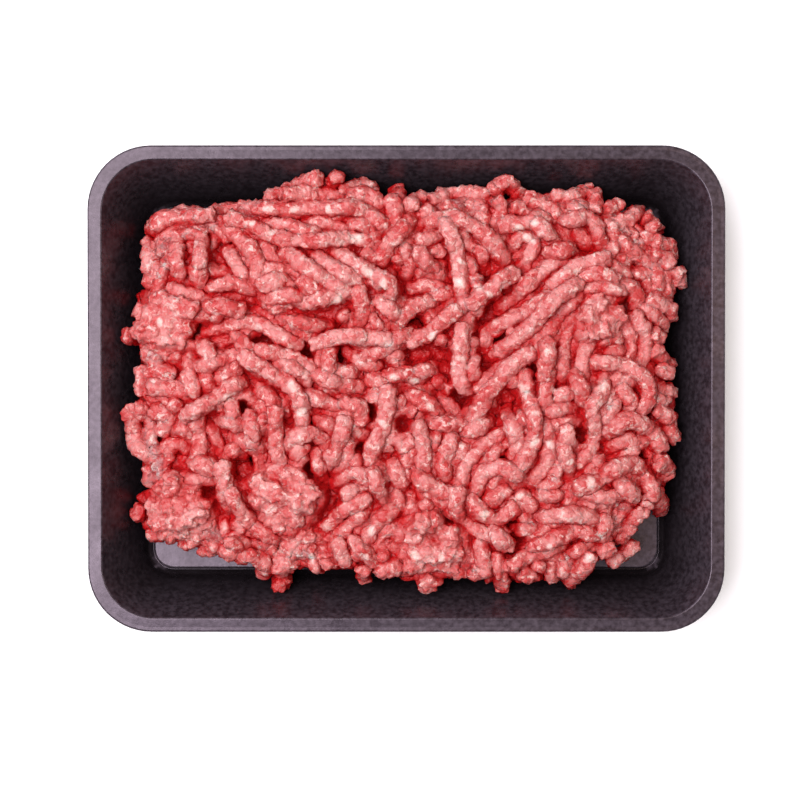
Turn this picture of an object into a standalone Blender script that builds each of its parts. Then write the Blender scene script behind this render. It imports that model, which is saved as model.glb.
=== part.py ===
"""Open supermarket tray of raw minced beef: a thermoformed black foam tray and the heap of mince lying in it.

Metres, +Z up. The origin is at the centre of the tray's footprint, on the surface it stands on; X runs along
the tray's length and Y across it.
"""

import math

import bmesh
import bpy
from mathutils import Vector, noise

MM = 0.001

# Foam tray, outside sizes.
TRAY_LENGTH = 220 * MM
TRAY_WIDTH = 168 * MM
TRAY_HEIGHT = 30 * MM
SHEET = 3.0 * MM  # thickness of the foam wall
WALL_LEAN = math.radians(64.5)  # slope of the wall, from the horizontal
RIM_WIDTH = 4.9 * MM  # flat band round the top
RIM_DEPTH = 3.4 * MM  # height of the rim's outer edge
RIM_CORNER = 22 * MM  # plan radius of the rim's corners

# Raised floor panel, with a narrow drip channel round it.
PANEL_INSET = 19.9 * MM  # from the rim's outer edge to the panel's edge
PANEL_CORNER = 6.5 * MM
PANEL_TOP = 5.5 * MM
PANEL_STEP_WIDTH = 0.8 * MM
CHANNEL_TOP = SHEET
UNDER_STEP = 0.6 * MM  # the underside follows the panel's step this much further in
CORNER_STEPS = 5  # faces round each corner of the tray
TRAY_SMOOTH = math.radians(50)  # edges sharper than this stay sharp

# Heap of mince. Its outline in plan, anticlockwise from the right, in millimetres.
HEAP_OUTLINE_MM = (
    (94, 0), (89, 16), (96, 34), (90, 52), (76, 63), (58, 69), (38, 69), (18, 70), (0, 68), (-19, 71),
    (-40, 70), (-56, 65), (-75, 62), (-90, 52), (-93, 34), (-96, 17), (-94, 0), (-96, -17), (-92, -34),
    (-88, -51), (-68, -58), (-52, -62), (-36, -65), (-17, -64), (0, -69), (18, -67), (39, -68), (57, -67),
    (72, -60), (82, -47), (92, -33), (93, -16),
)
HEAP_CELLS = (56, 42)  # mesh cells along and across
HEAP_FOOT = PANEL_TOP + 0.3 * MM  # the heap lies on the panel
HEAP_WAIST = 20 * MM  # height at which the heap is widest
HEAP_LEVEL = 31.5 * MM  # general height of its top
HEAP_UNDERCUT = 0.12  # how far the foot draws in below the waist, as a share of the outline
SHOULDER_POWER = 6
SIDE_RINGS = 5
OUTLINE_STEPS = 8  # spline steps between two outline points

# Mounds and hollows on the heap: x, y, spread and height, in millimetres.
MOUNDS_MM = (
    (-62, 34, 26, 4.5),
    (-18, 44, 24, 5.0),
    (44, 30, 24, 4.0),
    (66, 2, 26, 6.0),
    (58, -40, 22, 4.0),
    (6, -42, 24, 3.5),
    (-62, -30, 26, 4.5),
    (-26, -6, 22, 2.5),
    (24, 2, 16, -2.5),
    (-84, 2, 14, 2.0),
)
STRAND_PITCH = 11 * MM
STRAND_RELIEF = 1.5 * MM
STRAND_HEADING = math.radians(25)  # way that most strands run, from the X axis
SWIRL = 45 * MM  # distance over which the strands turn aside
SWIRL_REACH = 26 * MM  # how far they are carried aside
BREAK_LENGTH = 18 * MM  # usual length between a strand's breaks
EDGE_BUMP = 2.2 * MM
EDGE_BUMP_SIZE = 12 * MM
FLAT_BOTTOM = 0.1 * MM  # what lies lower than this above the foot isn't bumped
HEAP_SMOOTH = math.radians(60)


def clear_scene():
    """Remove every object of the scene."""
    for obj in list(bpy.data.objects):
        bpy.data.objects.remove(obj, do_unlink=True)


def make_material(name, colour, roughness):
    """Return a Principled material with one colour."""
    material = bpy.data.materials.new(name)
    material.use_nodes = True
    shader = material.node_tree.nodes["Principled BSDF"]
    shader.inputs["Base Color"].default_value = (*colour, 1.0)
    shader.inputs["Roughness"].default_value = roughness
    shader.inputs["Metallic"].default_value = 0.0
    return material


def add_object(name, mesh_builder, material, smooth_angle):
    """Make an object from a bmesh, shaded smooth except at edges sharper than smooth_angle."""
    mesh = bpy.data.meshes.new(name)
    mesh_builder.to_mesh(mesh)
    mesh_builder.free()
    mesh.shade_smooth()
    mesh.set_sharp_from_angle(angle=smooth_angle)
    mesh.materials.append(material)
    obj = bpy.data.objects.new(name, mesh)
    bpy.context.scene.collection.objects.link(obj)
    return obj


# ---------------------------------------------------------------- tray


def tray_section():
    """Return the tray's section as (inset, height) points, from the panel's top over the rim to its underside.

    The inset is measured inwards from the rim's outer edge.
    """
    lean = 1 / math.tan(WALL_LEAN)
    across_wall = SHEET / math.sin(WALL_LEAN)
    rim_under = TRAY_HEIGHT - RIM_DEPTH
    wall_foot = RIM_WIDTH + (TRAY_HEIGHT - CHANNEL_TOP) * lean
    outer_top = RIM_WIDTH + RIM_DEPTH * lean - across_wall
    outer_foot = RIM_WIDTH + TRAY_HEIGHT * lean - across_wall
    panel_under = PANEL_TOP - SHEET
    step_foot = PANEL_INSET - PANEL_STEP_WIDTH
    # Each corner: inset, height and the width that its chamfer takes off each side.
    corners = (
        (PANEL_INSET, PANEL_TOP, 0),
        (step_foot, CHANNEL_TOP, 0),
        (wall_foot, CHANNEL_TOP, 0.6 * MM),
        (RIM_WIDTH, TRAY_HEIGHT, 0.9 * MM),
        (0, TRAY_HEIGHT, 0.9 * MM),
        (0, rim_under, 0.7 * MM),
        (outer_top, rim_under, 0),
        (outer_foot, 0, 1.2 * MM),
        (step_foot + UNDER_STEP, 0, 0),
        (PANEL_INSET + UNDER_STEP, panel_under, 0),
    )
    section = []
    for index, (inset, height, chamfer) in enumerate(corners):
        corner = Vector((inset, height))
        if chamfer:
            for other in (corners[index - 1], corners[index + 1]):
                section.append(corner + (Vector(other[:2]) - corner).normalized() * chamfer)
        else:
            section.append(corner)
    return section


def plan_corner(inset):
    """Return the plan radius of a loop's corners at an inset."""
    share = min(inset / PANEL_INSET, 1.0)
    return RIM_CORNER + (PANEL_CORNER - RIM_CORNER) * share


def rounded_rectangle(inset, height):
    """Return the points of a level loop round the tray, anticlockwise."""
    radius = plan_corner(inset)
    centre_x = TRAY_LENGTH / 2 - inset - radius
    centre_y = TRAY_WIDTH / 2 - inset - radius
    loop = []
    for quarter, (side_x, side_y) in enumerate(((1, 1), (-1, 1), (-1, -1), (1, -1))):
        for step in range(CORNER_STEPS + 1):
            angle = math.radians(90) * (quarter + step / CORNER_STEPS)
            loop.append(
                Vector(
                    (
                        side_x * centre_x + radius * math.cos(angle),
                        side_y * centre_y + radius * math.sin(angle),
                        height,
                    )
                )
            )
    return loop


def build_tray():
    """Join the section's loops with bands of faces into one closed sheet of foam."""
    builder = bmesh.new()
    loops = [
        [builder.verts.new(place) for place in rounded_rectangle(inset, height)]
        for inset, height in tray_section()
    ]
    for inner, outer in zip(loops, loops[1:]):
        for i in range(len(inner)):
            builder.faces.new((inner[i - 1], inner[i], outer[i], outer[i - 1]))
    for loop in (loops[0], loops[-1]):
        builder.faces.new(loop)
    bmesh.ops.recalc_face_normals(builder, faces=builder.faces)
    foam = make_material("black_foam", (0.035, 0.030, 0.034), 0.5)
    return add_object("tray", builder, foam, TRAY_SMOOTH)


# ---------------------------------------------------------------- heap of mince


def smooth_outline():
    """Return (angle, radius) pairs of a closed Catmull-Rom curve through the outline's points, by angle."""
    knots = [Vector(point) * MM for point in HEAP_OUTLINE_MM]
    count = len(knots)
    polar = []
    for index in range(count):
        p0, p1, p2, p3 = (knots[(index + shift) % count] for shift in (-1, 0, 1, 2))
        for step in range(OUTLINE_STEPS):
            t = step / OUTLINE_STEPS
            point = (
                p1 * 2
                + (p2 - p0) * t
                + (p0 * 2 - p1 * 5 + p2 * 4 - p3) * t**2
                + (p1 * 3 - p0 - p2 * 3 + p3) * t**3
            ) / 2
            polar.append((math.atan2(point.y, point.x) % math.tau, point.length))
    return sorted(polar)


def radius_at(polar, angle):
    """Return the outline's radius at an angle."""
    angle %= math.tau
    before = polar[-1][0] - math.tau, polar[-1][1]
    for after in (*polar, (polar[0][0] + math.tau, polar[0][1])):
        if angle <= after[0]:
            share = (angle - before[0]) / max(after[0] - before[0], 1e-9)
            return before[1] + (after[1] - before[1]) * share
        before = after
    return before[1]


def mound_height(x, y):
    """Return how much the mounds and hollows add at a point."""
    return sum(
        height * MM * math.exp(-((x / MM - mound_x) ** 2 + (y / MM - mound_y) ** 2) / (2 * spread**2))
        for mound_x, mound_y, spread, height in MOUNDS_MM
    )


def strand_relief(x, y):
    """Return the height of the swirling, broken ridges that the strands make."""
    swirl = SWIRL_REACH * noise.noise(Vector((x / SWIRL, y / SWIRL, 0.3)))
    across = y * math.cos(STRAND_HEADING) - x * math.sin(STRAND_HEADING) + swirl
    broken = 0.65 + 0.7 * noise.noise(Vector((x / BREAK_LENGTH, y / BREAK_LENGTH, 4.1)))
    return STRAND_RELIEF * broken * math.sin(math.tau * across / STRAND_PITCH)


def edge_bump(x, y, height):
    """Return how far strand ends push the side out or in."""
    return EDGE_BUMP * noise.noise(Vector((x, y, height)) / EDGE_BUMP_SIZE)


def heap_top(polar, u, v):
    """Return the point of the heap's top at grid place u, v, each from -1 to 1."""
    half_x = TRAY_LENGTH / 2
    half_y = TRAY_WIDTH / 2
    flat = Vector((u * half_x, v * half_y))
    reach = max(abs(u), abs(v))
    if reach < 1e-6:
        return Vector((0, 0, HEAP_LEVEL + mound_height(0, 0) + strand_relief(0, 0)))
    edge = radius_at(polar, math.atan2(flat.y, flat.x))
    place = flat.normalized() * edge * reach
    shoulder = math.sqrt(max(0.0, 1 - reach**SHOULDER_POWER))
    crown = HEAP_LEVEL + mound_height(place.x, place.y) + strand_relief(place.x, place.y)
    return Vector((place.x, place.y, HEAP_WAIST + (crown - HEAP_WAIST) * shoulder))


def build_heap():
    """Shape a grid into the heap's top, then draw its edge down and in to the floor panel."""
    polar = smooth_outline()
    builder = bmesh.new()
    bmesh.ops.create_grid(builder, x_segments=HEAP_CELLS[0], y_segments=HEAP_CELLS[1], size=1.0)
    for vert in builder.verts:
        vert.co = heap_top(polar, vert.co.x, vert.co.y)
    rim = [edge for edge in builder.edges if edge.is_boundary]
    for ring in range(1, SIDE_RINGS + 1):
        extruded = bmesh.ops.extrude_edge_only(builder, edges=rim)["geom"]
        rim = [item for item in extruded if isinstance(item, bmesh.types.BMEdge) and item.is_boundary]
        share = ring / SIDE_RINGS
        before = (ring - 1) / SIDE_RINGS
        draw = (1 - HEAP_UNDERCUT * share**2) / (1 - HEAP_UNDERCUT * before**2)
        for vert in {vert for edge in rim for vert in edge.verts}:
            vert.co.x *= draw
            vert.co.y *= draw
            vert.co.z = HEAP_WAIST + (HEAP_FOOT - HEAP_WAIST) * share
    bmesh.ops.contextual_create(builder, geom=rim)
    lowest = HEAP_FOOT + FLAT_BOTTOM
    for vert in builder.verts:
        outward = Vector((vert.co.x, vert.co.y, 0)).normalized()
        near_edge = min(1.0, max(0.0, (HEAP_LEVEL - vert.co.z) / (HEAP_LEVEL - HEAP_WAIST)))
        if vert.co.z > lowest:
            vert.co += outward * edge_bump(*vert.co) * near_edge
    bmesh.ops.recalc_face_normals(builder, faces=builder.faces)
    mince = make_material("raw_mince", (0.62, 0.13, 0.12), 0.35)
    return add_object("mince_heap", builder, mince, HEAP_SMOOTH)


clear_scene()
build_tray()
build_heap()
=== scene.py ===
"""Looks of an open foam tray of raw minced beef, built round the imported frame.

The tray is thermoformed from black foam sheet. The mince is a tangle of ground strands: a core inside, short
strands that make its sides, mashed patches and longer strands laid one by one over the top, and broken bits
that fill the gaps between those. Metres, +Z up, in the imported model's own frame.
"""

import logging
import math
from collections.abc import Callable
from dataclasses import dataclass, field
from enum import Enum
from functools import partial

import bmesh
import bpy
import numpy as np
from mathutils import Euler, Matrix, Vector
from mathutils.bvhtree import BVHTree
from mathutils.kdtree import KDTree


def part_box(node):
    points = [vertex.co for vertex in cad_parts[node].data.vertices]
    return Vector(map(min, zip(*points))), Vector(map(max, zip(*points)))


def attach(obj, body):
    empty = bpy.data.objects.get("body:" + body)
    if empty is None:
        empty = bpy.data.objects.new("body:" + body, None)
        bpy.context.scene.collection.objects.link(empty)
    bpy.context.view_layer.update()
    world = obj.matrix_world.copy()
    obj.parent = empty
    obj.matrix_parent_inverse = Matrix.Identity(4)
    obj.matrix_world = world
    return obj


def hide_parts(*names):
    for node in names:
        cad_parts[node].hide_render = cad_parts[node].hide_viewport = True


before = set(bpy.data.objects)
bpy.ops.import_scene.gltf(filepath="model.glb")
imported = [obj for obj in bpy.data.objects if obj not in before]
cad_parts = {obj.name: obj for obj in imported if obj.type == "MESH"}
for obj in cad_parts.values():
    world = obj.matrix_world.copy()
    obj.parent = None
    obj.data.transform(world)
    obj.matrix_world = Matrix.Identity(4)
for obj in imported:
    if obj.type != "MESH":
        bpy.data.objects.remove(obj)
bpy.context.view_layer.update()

MM = 0.001
SAME = 1e-7  # places nearer to each other than this count as one
TINY = 1e-9  # keeps a division by a length from failing
CURVE_STEPS = 24  # points that a smooth path has between two of its own
LONG_STRAND = 24 * MM  # a strand longer than this is a long one
LOG = logging.getLogger("meat_tray")

Point = tuple[float, float]
Path = tuple[Point, ...]  # a strand in plan, in millimetres from the tray's middle
Patch = tuple[float, float, float, float, float]  # place in plan, length and width in mm; turn in degrees
Spot = tuple[float, float, float]  # place in plan and width, in millimetres
Corner = tuple[float, float, float]
Range = tuple[float, float]  # the least and the greatest
Spread = tuple[float, float]  # the middle, and how far values spread round it
Relief = tuple[str, float, float]  # pattern, its size and its depth

# What roughens the mince. The depth of its grains is negative, so that their middles stand out.
TORN: tuple[Relief, ...] = (("CLOUDS", 3.8 * MM, 1.9 * MM),)
STRAND_GRAINS: tuple[Relief, ...] = (
    ("CLOUDS", 7 * MM, 0.9 * MM), ("VORONOI", 2.4 * MM, -1.5 * MM), ("CLOUDS", 1.6 * MM, 1.2 * MM),
)
MASHED_GRAINS: tuple[Relief, ...] = (("CLOUDS", 5.0 * MM, 2.5 * MM), ("VORONOI", 2.8 * MM, -1.8 * MM))
CORE_GRAINS: tuple[Relief, ...] = (("CLOUDS", 4.5 * MM, 2.6 * MM), ("VORONOI", 3.0 * MM, -1.6 * MM))


# ---------------------------------------------------------------- strands that show, laid one by one


# Each strand is a path in plan, in millimetres from the tray's middle, in the order that they were laid.
TOP_LEFT: tuple[Path, ...] = (
    ((-91, 53), (-90, 46), (-90, 40)),
    ((-84, 53), (-84, 47), (-82, 42)),
    ((-92, 57), (-84, 56), (-78, 57), (-71, 58)),
    ((-86, 59), (-78, 61), (-70, 60.5)),
    ((-92, 38), (-86, 38), (-81, 40)),
    ((-77, 55), (-70, 56), (-65, 55)),
    ((-75, 51), (-75, 45), (-77, 41)),
    ((-67, 52), (-68, 47), (-65, 45)),
    ((-73, 42), (-66, 41), (-60, 40)),
    ((-72, 40), (-71.5, 35)),
    ((-94, 32), (-88, 33), (-82, 34.5)),
    ((-79.5, 52), (-79.5, 46), (-79, 42)),
    ((-71, 50), (-71, 45)),
    ((-61, 47), (-58, 42), (-55, 38)),
    ((-66, 31), (-60, 32), (-55, 31)),
    ((-86, 16), (-78, 15.5), (-72, 17)),
    ((-80, 34), (-74, 32.5), (-70, 30)),
    ((-66, 35), (-60, 36.5), (-54, 35)),
    ((-70, 28), (-64, 28.5), (-59, 27.5)),
    ((-49, 49), (-45, 45), (-41, 43)),
    ((-62, 56), (-56, 51), (-51.5, 45), (-51, 38)),
    ((-49, 65), (-41, 69.5), (-34, 72), (-29, 73)),
    ((-43, 67), (-34, 67.5), (-26, 67), (-21, 66)),
    ((-29, 70.5), (-25, 72), (-23.5, 74)),
    ((-24, 69), (-17, 70), (-12.5, 71), (-12, 68)),
    ((-21, 65.5), (-15, 67), (-10.5, 65), (-10, 62)),
    ((-33, 57), (-27, 56.5), (-21, 55.5)),
    ((-17, 57), (-12, 55), (-11, 50), (-14, 47)),
    ((-48, 57), (-41, 56.5), (-35, 54.5), (-29, 52.5)),
    ((-68, 62), (-55, 63), (-40, 62), (-25, 62.5), (-16, 62), (-10, 58.5), (-6.5, 54)),
    ((-46, 41), (-40, 41), (-35, 38.5)),
    ((-48, 36), (-42, 37), (-38, 34.5)),
    ((-46, 31), (-40, 32), (-36, 30)),
    ((-34, 36), (-31, 33.5), (-29, 31)),
    ((-32, 30), (-25, 31.5), (-21, 31)),
    ((-40, 46), (-33, 41), (-27, 37), (-21, 34)),
    ((-32, 46.5), (-26, 42), (-19, 38), (-13, 35.5)),
    ((-25, 47), (-18, 43), (-12, 39), (-8, 34)),
    ((-63, 59.5), (-55, 57), (-48, 53.5), (-38, 51), (-28, 51), (-19, 52), (-14, 51)),
    ((-3.5, 70.5), (-2, 66), (-2.5, 62)),
    ((-6, 66.5), (-4, 62), (-4, 57)),
    ((-13, 46), (-8, 43), (-5, 39)),
    ((1.5, 59), (-2, 54), (-6, 50), (-8, 46)),
    ((0, 47), (1, 43), (0, 39)),
    ((-9, 38), (-5, 35), (-6, 30)),
    ((-16, 32), (-15, 27), (-16, 23)),
    ((-8, 29), (-4, 25), (-3, 20)),
)
TOP_RIGHT: tuple[Path, ...] = (
    ((1, 62), (3, 66), (8, 66)),
    ((8, 65), (14, 68), (21, 68.5), (29, 67.5)),
    ((30, 68), (34, 72), (38, 69.5), (40, 67)),
    ((5, 62), (10, 60), (13, 57)),
    ((12, 63), (17, 62), (20, 60)),
    ((31, 66), (33, 62), (31, 57)),
    ((26, 64), (26.5, 60), (25.5, 56)),
    ((36, 64), (40, 62), (42, 60)),
    ((41, 67), (46, 65), (50, 62), (53, 59)),
    ((35, 57), (41, 57.5), (47, 59)),
    ((37, 50), (40, 52.5), (45, 52)),
    ((46, 56), (50, 53)),
    ((6, 51.5), (10, 53), (13, 52.5)),
    ((19, 53), (22, 50), (26, 48)),
    ((9, 58), (16, 59), (23, 56), (29, 51.5), (33, 46), (36, 40)),
    ((5, 46), (8, 42), (12, 43)),
    ((12, 39), (14, 36)),
    ((3, 35), (8, 36), (14, 34)),
    ((9, 32), (15, 33)),
    ((-1, 25), (3, 28.5), (8, 29.5)),
    ((14, 56), (16.5, 50), (18, 43), (19, 36), (19.5, 31)),
    ((20, 30), (18, 26), (17, 22)),
    ((26, 47), (27, 43), (28, 40)),
    ((44, 49), (42, 45), (40.5, 41)),
    ((29, 26), (32, 29)),
    ((24, 30.5), (29, 34), (33, 38), (35.5, 39)),
    ((34, 29), (39, 33.5), (45, 39), (51, 43.5), (58, 45.5)),
    ((50, 67), (57, 67), (63, 69), (66, 69.5)),
    ((65.5, 69), (66, 65), (65, 61)),
    ((69, 61.5), (73, 64), (76, 64)),
    ((71, 57), (76, 58.5), (81, 61.5), (84, 62)),
    ((83, 61), (86, 58), (89, 54)),
    ((82, 51.5), (86, 53.5)),
    ((86, 51), (91, 50), (94, 45)),
    ((60, 54), (62, 51.5), (65, 50)),
    ((56, 58), (62, 59.5), (66, 56), (67.5, 50)),
    ((51, 47.5), (55.5, 48)),
    ((71, 56), (72.5, 51), (71, 46)),
    ((76, 50), (79, 47.5), (82, 46)),
    ((85, 47), (90, 46), (92, 42)),
    ((94, 42), (95.5, 38), (95, 35.5)),
    ((71, 42), (75, 40), (76, 37)),
    ((82, 40), (84, 36), (83, 31)),
    ((87, 40), (88, 35), (88, 29)),
    ((75, 36), (79, 34), (80, 29)),
    ((60, 34), (66, 35), (72, 34)),
    ((60, 38), (65, 40), (70, 38.5)),
    ((49, 34), (54, 38.5), (60, 43), (67, 44.5)),
    ((29, 20), (35, 23.5), (42, 27), (48, 31)),
    ((60.5, 5), (61, 12), (63, 18), (66, 23)),
    ((53.5, 5), (54, 12), (56, 19), (61, 25)),
    ((46, 12), (48, 18), (52, 25), (58, 31)),
    ((30, 11), (35, 15), (41, 20), (46, 25.5), (51, 31), (57, 35)),
)
MIDDLE_LEFT: tuple[Path, ...] = (
    ((-98, 18.5), (-93, 18), (-89, 21)),
    ((-91, 14), (-87, 12), (-81, 11.5)),
    ((-93, 8), (-92, 2), (-92, -3)),
    ((-88, 6), (-83, 6)),
    ((-90, 1), (-83, 0), (-77, -1), (-74, -4)),
    ((-75, 11), (-75.5, 5), (-74, 0)),
    ((-69, 6), (-68, 0)),
    ((-70, 8), (-64, 10), (-58, 12), (-53, 12)),
    ((-66, 16), (-62, 17)),
    ((-58, 17), (-55, 14)),
    ((-70, 15), (-68, 12)),
    ((-68, 20), (-60, 22.5), (-52, 23), (-45, 19), (-39, 16)),
    ((-98, -9), (-93, -8), (-91, -5)),
    ((-95, -5), (-95.5, -12), (-94.5, -19), (-90, -24), (-87, -27)),
    ((-86, -8), (-82, -10), (-84, -13)),
    ((-84, -21), (-79, -19), (-76, -22)),
    ((-82, -25), (-76, -26)),
    ((-68, -13), (-65.5, -18), (-64.5, -23)),
    ((-73, -9), (-72, -15), (-71.5, -21), (-73, -27)),
    ((-63, -11), (-58, -12)),
    ((-61, -3), (-60, -7)),
    ((-74, -8), (-68, -5), (-63, -1), (-58, 2)),
    ((-58, -17), (-53, -19), (-48, -19)),
    ((-53.5, -11), (-53, -17)),
    ((-40, 24), (-33, 22), (-27, 22)),
    ((-49, 13), (-42, 11.5), (-36, 9), (-31, 5)),
    ((-44, 8), (-39, 7.5), (-35, 4)),
    ((-34, -2), (-29, -4), (-23, -6)),
    ((-29, 4), (-24, 2), (-18, 0.5)),
    ((-27, 14), (-26.5, 8)),
    ((-19, 12), (-15, 9), (-11, 8)),
    ((-14, 11), (-8, 14), (-2, 18), (2, 20)),
    ((-30, 16), (-23, 18), (-15, 18), (-8, 17)),
    ((-43, -4), (-42, -7)),
    ((-49, -1), (-46, -4)),
    ((-45, -9), (-45, -15), (-45, -22)),
    ((-54, 10), (-47, 6), (-41, 2), (-37, -3), (-36, -8), (-36, -13)),
    ((-29, -11), (-26, -13)),
    ((-41, -20), (-38, -16.5), (-32, -15.5), (-28, -18), (-27, -21)),
    ((-20, -13), (-16, -15)),
    ((-21.5, -12.5), (-23, -18), (-26, -24)),
    ((-20, -5), (-16, -6), (-16, -10)),
    ((-11, 3), (-7, 2)),
    ((-5, 4.5), (0, 5), (4, 4)),
    ((-6.5, -2), (-7, -8), (-9, -15), (-12, -21), (-13, -27)),
)
MIDDLE_RIGHT: tuple[Path, ...] = (
    ((4, 12), (10, 13), (14, 11)),
    ((5, 6), (11, 7), (16, 5)),
    ((3, 17), (8, 19.5), (13, 23.5), (16, 26)),
    ((27.5, 18.5), (27.5, 16)),
    ((19, 20), (18.5, 13), (18.5, 7), (19.5, 1), (22, 0)),
    ((3, -3), (8, -6), (11, -9)),
    ((13, -4), (16, -7), (18, -10)),
    ((9, -12), (15, -12), (22, -12.5)),
    ((33, 1), (35, -2)),
    ((27, -12), (23, -14)),
    ((26, 1), (30, 5), (34, 8)),
    ((24, -9), (27, -3), (31, 2), (36, 8), (42, 12)),
    ((4.5, -14), (6, -20), (5.5, -27)),
    ((15, -18), (13, -24), (13, -30)),
    ((34, -14.5), (28, -18.5), (23, -23.5), (20, -28), (19.5, -33)),
    ((35, -9), (37, -14), (38.5, -19), (37, -24)),
    ((48, 14), (48, 8), (48, 2)),
    ((48, -1), (48, -8)),
    ((48, -13), (49.5, -19), (48, -26), (44, -31)),
    ((41, 4), (42, -3), (43.5, -9), (44, -16), (41, -23), (38, -29)),
    ((53, -2), (57, -1)),
    ((51, -7), (57, -6)),
    ((53, -12), (58, -10.5)),
    ((55, -15), (55, -19)),
    ((58.5, 3), (60, -2)),
    ((54.5, -22), (56, -28), (57, -34), (56, -39)),
    ((68, 4), (67, -1), (63.5, -6), (64.5, -12), (64, -19), (60, -25)),
    ((71, 12.5), (72, 13)),
    ((73, 3.5), (78, 2.5)),
    ((75, -1), (77, -5), (75, -9)),
    ((80, 24), (83, 19), (82.5, 13), (81, 9)),
    ((84, 27), (88, 24), (91, 21)),
    ((86, 30), (91, 28), (93, 24)),
    ((85, 20), (88, 17)),
    ((85, 14), (90, 10), (93, 8)),
    ((86, 7), (92, 5)),
    ((88, 0), (93.5, -1)),
    ((85, -3), (91, -5)),
    ((66, 9), (73, 8.5), (79, 6), (83, 1.5), (83, -4), (80, -9)),
    ((72, -19), (76, -17.5), (78, -20.5), (75, -23)),
    ((88, -8), (91, -10), (92, -15), (94, -18)),
    ((70, -14), (75, -11), (81, -12), (86, -16), (89, -22)),
    ((86, -25), (90, -27), (92, -32)),
)
BOTTOM_LEFT: tuple[Path, ...] = (
    ((-92, -33), (-87, -29.5), (-81, -29.5)),
    ((-95.5, -43), (-91, -46), (-89, -50)),
    ((-90, -51), (-85, -51)),
    ((-94, -39.5), (-88, -37.5), (-83, -34)),
    ((-78, -36), (-77, -40)),
    ((-76, -31), (-70, -31), (-64, -30)),
    ((-72, -26), (-67, -27)),
    ((-73, -44), (-70, -49)),
    ((-73, -55), (-69, -57), (-66, -53)),
    ((-64, -43), (-63, -50)),
    ((-63, -53), (-57, -54)),
    ((-56, -57), (-50, -60), (-50, -65)),
    ((-56, -29), (-54, -34)),
    ((-63, -28), (-62.5, -34), (-62, -39)),
    ((-60, -37), (-57, -43), (-52, -48.5), (-47, -51)),
    ((-44, -23), (-43, -27)),
    ((-31, -23), (-29.5, -30), (-27, -35), (-24.5, -39)),
    ((-35, -38), (-30, -37.5), (-27, -39)),
    ((-35, -46), (-31, -44), (-30, -42)),
    ((-23, -32), (-18, -29), (-14, -30)),
    ((-11, -30), (-9, -36), (-8, -38)),
    ((-4, -27), (-2, -32)),
    ((-3, -38), (-1, -42)),
    ((-24, -52), (-19, -46.5), (-14.5, -41.5)),
    ((-27.5, -47), (-22, -42.5), (-15, -38.5)),
    ((-13, -51), (-9.5, -46), (-6, -42.5)),
    ((-23, -55), (-21, -61)),
    ((-17, -54), (-13, -58), (-12, -62)),
    ((-44, -61), (-44, -66), (-44.5, -70)),
    ((-15, -62), (-15, -67)),
    ((-27, -59), (-27, -62)),
    ((-10, -64), (-5, -62), (-1, -62)),
)
BOTTOM_RIGHT: tuple[Path, ...] = (
    ((2, -39), (2, -46)),
    ((5, -31), (9, -34), (15, -36)),
    ((24, -35), (27, -29), (33, -27), (37, -29)),
    ((29, -39), (33, -35.5)),
    ((41, -38), (44, -41)),
    ((17.5, -37), (17, -42), (21, -46.5), (27, -49.5), (31, -52)),
    ((23.5, -39.5), (27, -43.5), (32, -44.5), (36, -41.5)),
    ((31, -50), (34, -53)),
    ((32, -60), (33, -65), (34, -70)),
    ((26, -55), (27, -60), (27, -65)),
    ((39, -63), (45, -66)),
    ((50, -61), (51, -67)),
    ((54, -59), (55, -65)),
    ((36, -62), (40, -58.5), (47, -56.5), (53, -54)),
    ((45, -54), (51, -51.5), (58, -48)),
    ((49, -44), (56, -43), (63, -44), (67, -47)),
    ((68, -46), (68, -53)),
    ((64, -50), (60, -49)),
    ((72, -54), (66, -58)),
    ((61, -35.5), (68, -37), (74, -36)),
    ((73, -32), (78, -36.5)),
    ((86, -35), (89, -40), (91.5, -44.5)),
    ((60, -33.5), (66, -31.5), (71, -27.5), (78, -26), (83, -30), (85, -36), (84, -39)),
    ((76, -52), (79.5, -45), (83, -41)),
    ((70, -61), (76, -58.5), (81, -54.5)),
    ((56.5, -69), (60.5, -63), (65, -56.5)),
)
# Ends that hang over the panel's far corners.
FAR_CORNERS: tuple[Path, ...] = (
    ((-89, 56), (-85, 59), (-79, 60), (-72, 60)),
    ((-74, 59.6), (-66, 60.6)),
    ((84.5, 58.5), (87.5, 55)),
)
SHOWN_STRANDS: tuple[Path, ...] = (
    TOP_LEFT + TOP_RIGHT + MIDDLE_LEFT + MIDDLE_RIGHT + BOTTOM_LEFT + BOTTOM_RIGHT + FAR_CORNERS
)

# Patches where the mince was pressed into one mass. Some lie under the strands and some on top of them.
BURIED_PATCHES: tuple[Patch, ...] = (
    (-36.8, 32.5, 28, 18, 0), (-40.0, -53.0, 24, 16, -10), (63.0, -41.0, 24, 12, 10),
)
TOP_PATCHES: tuple[Patch, ...] = (
    (-83.0, 24.0, 25, 23, -15), (8.0, -55.7, 25, 23.8, 0), (-78.5, -43.0, 26, 24, 20),
    (66.5, 24.5, 18, 17, 40), (-42.5, -36.5, 29, 23, -25),
)

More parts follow.
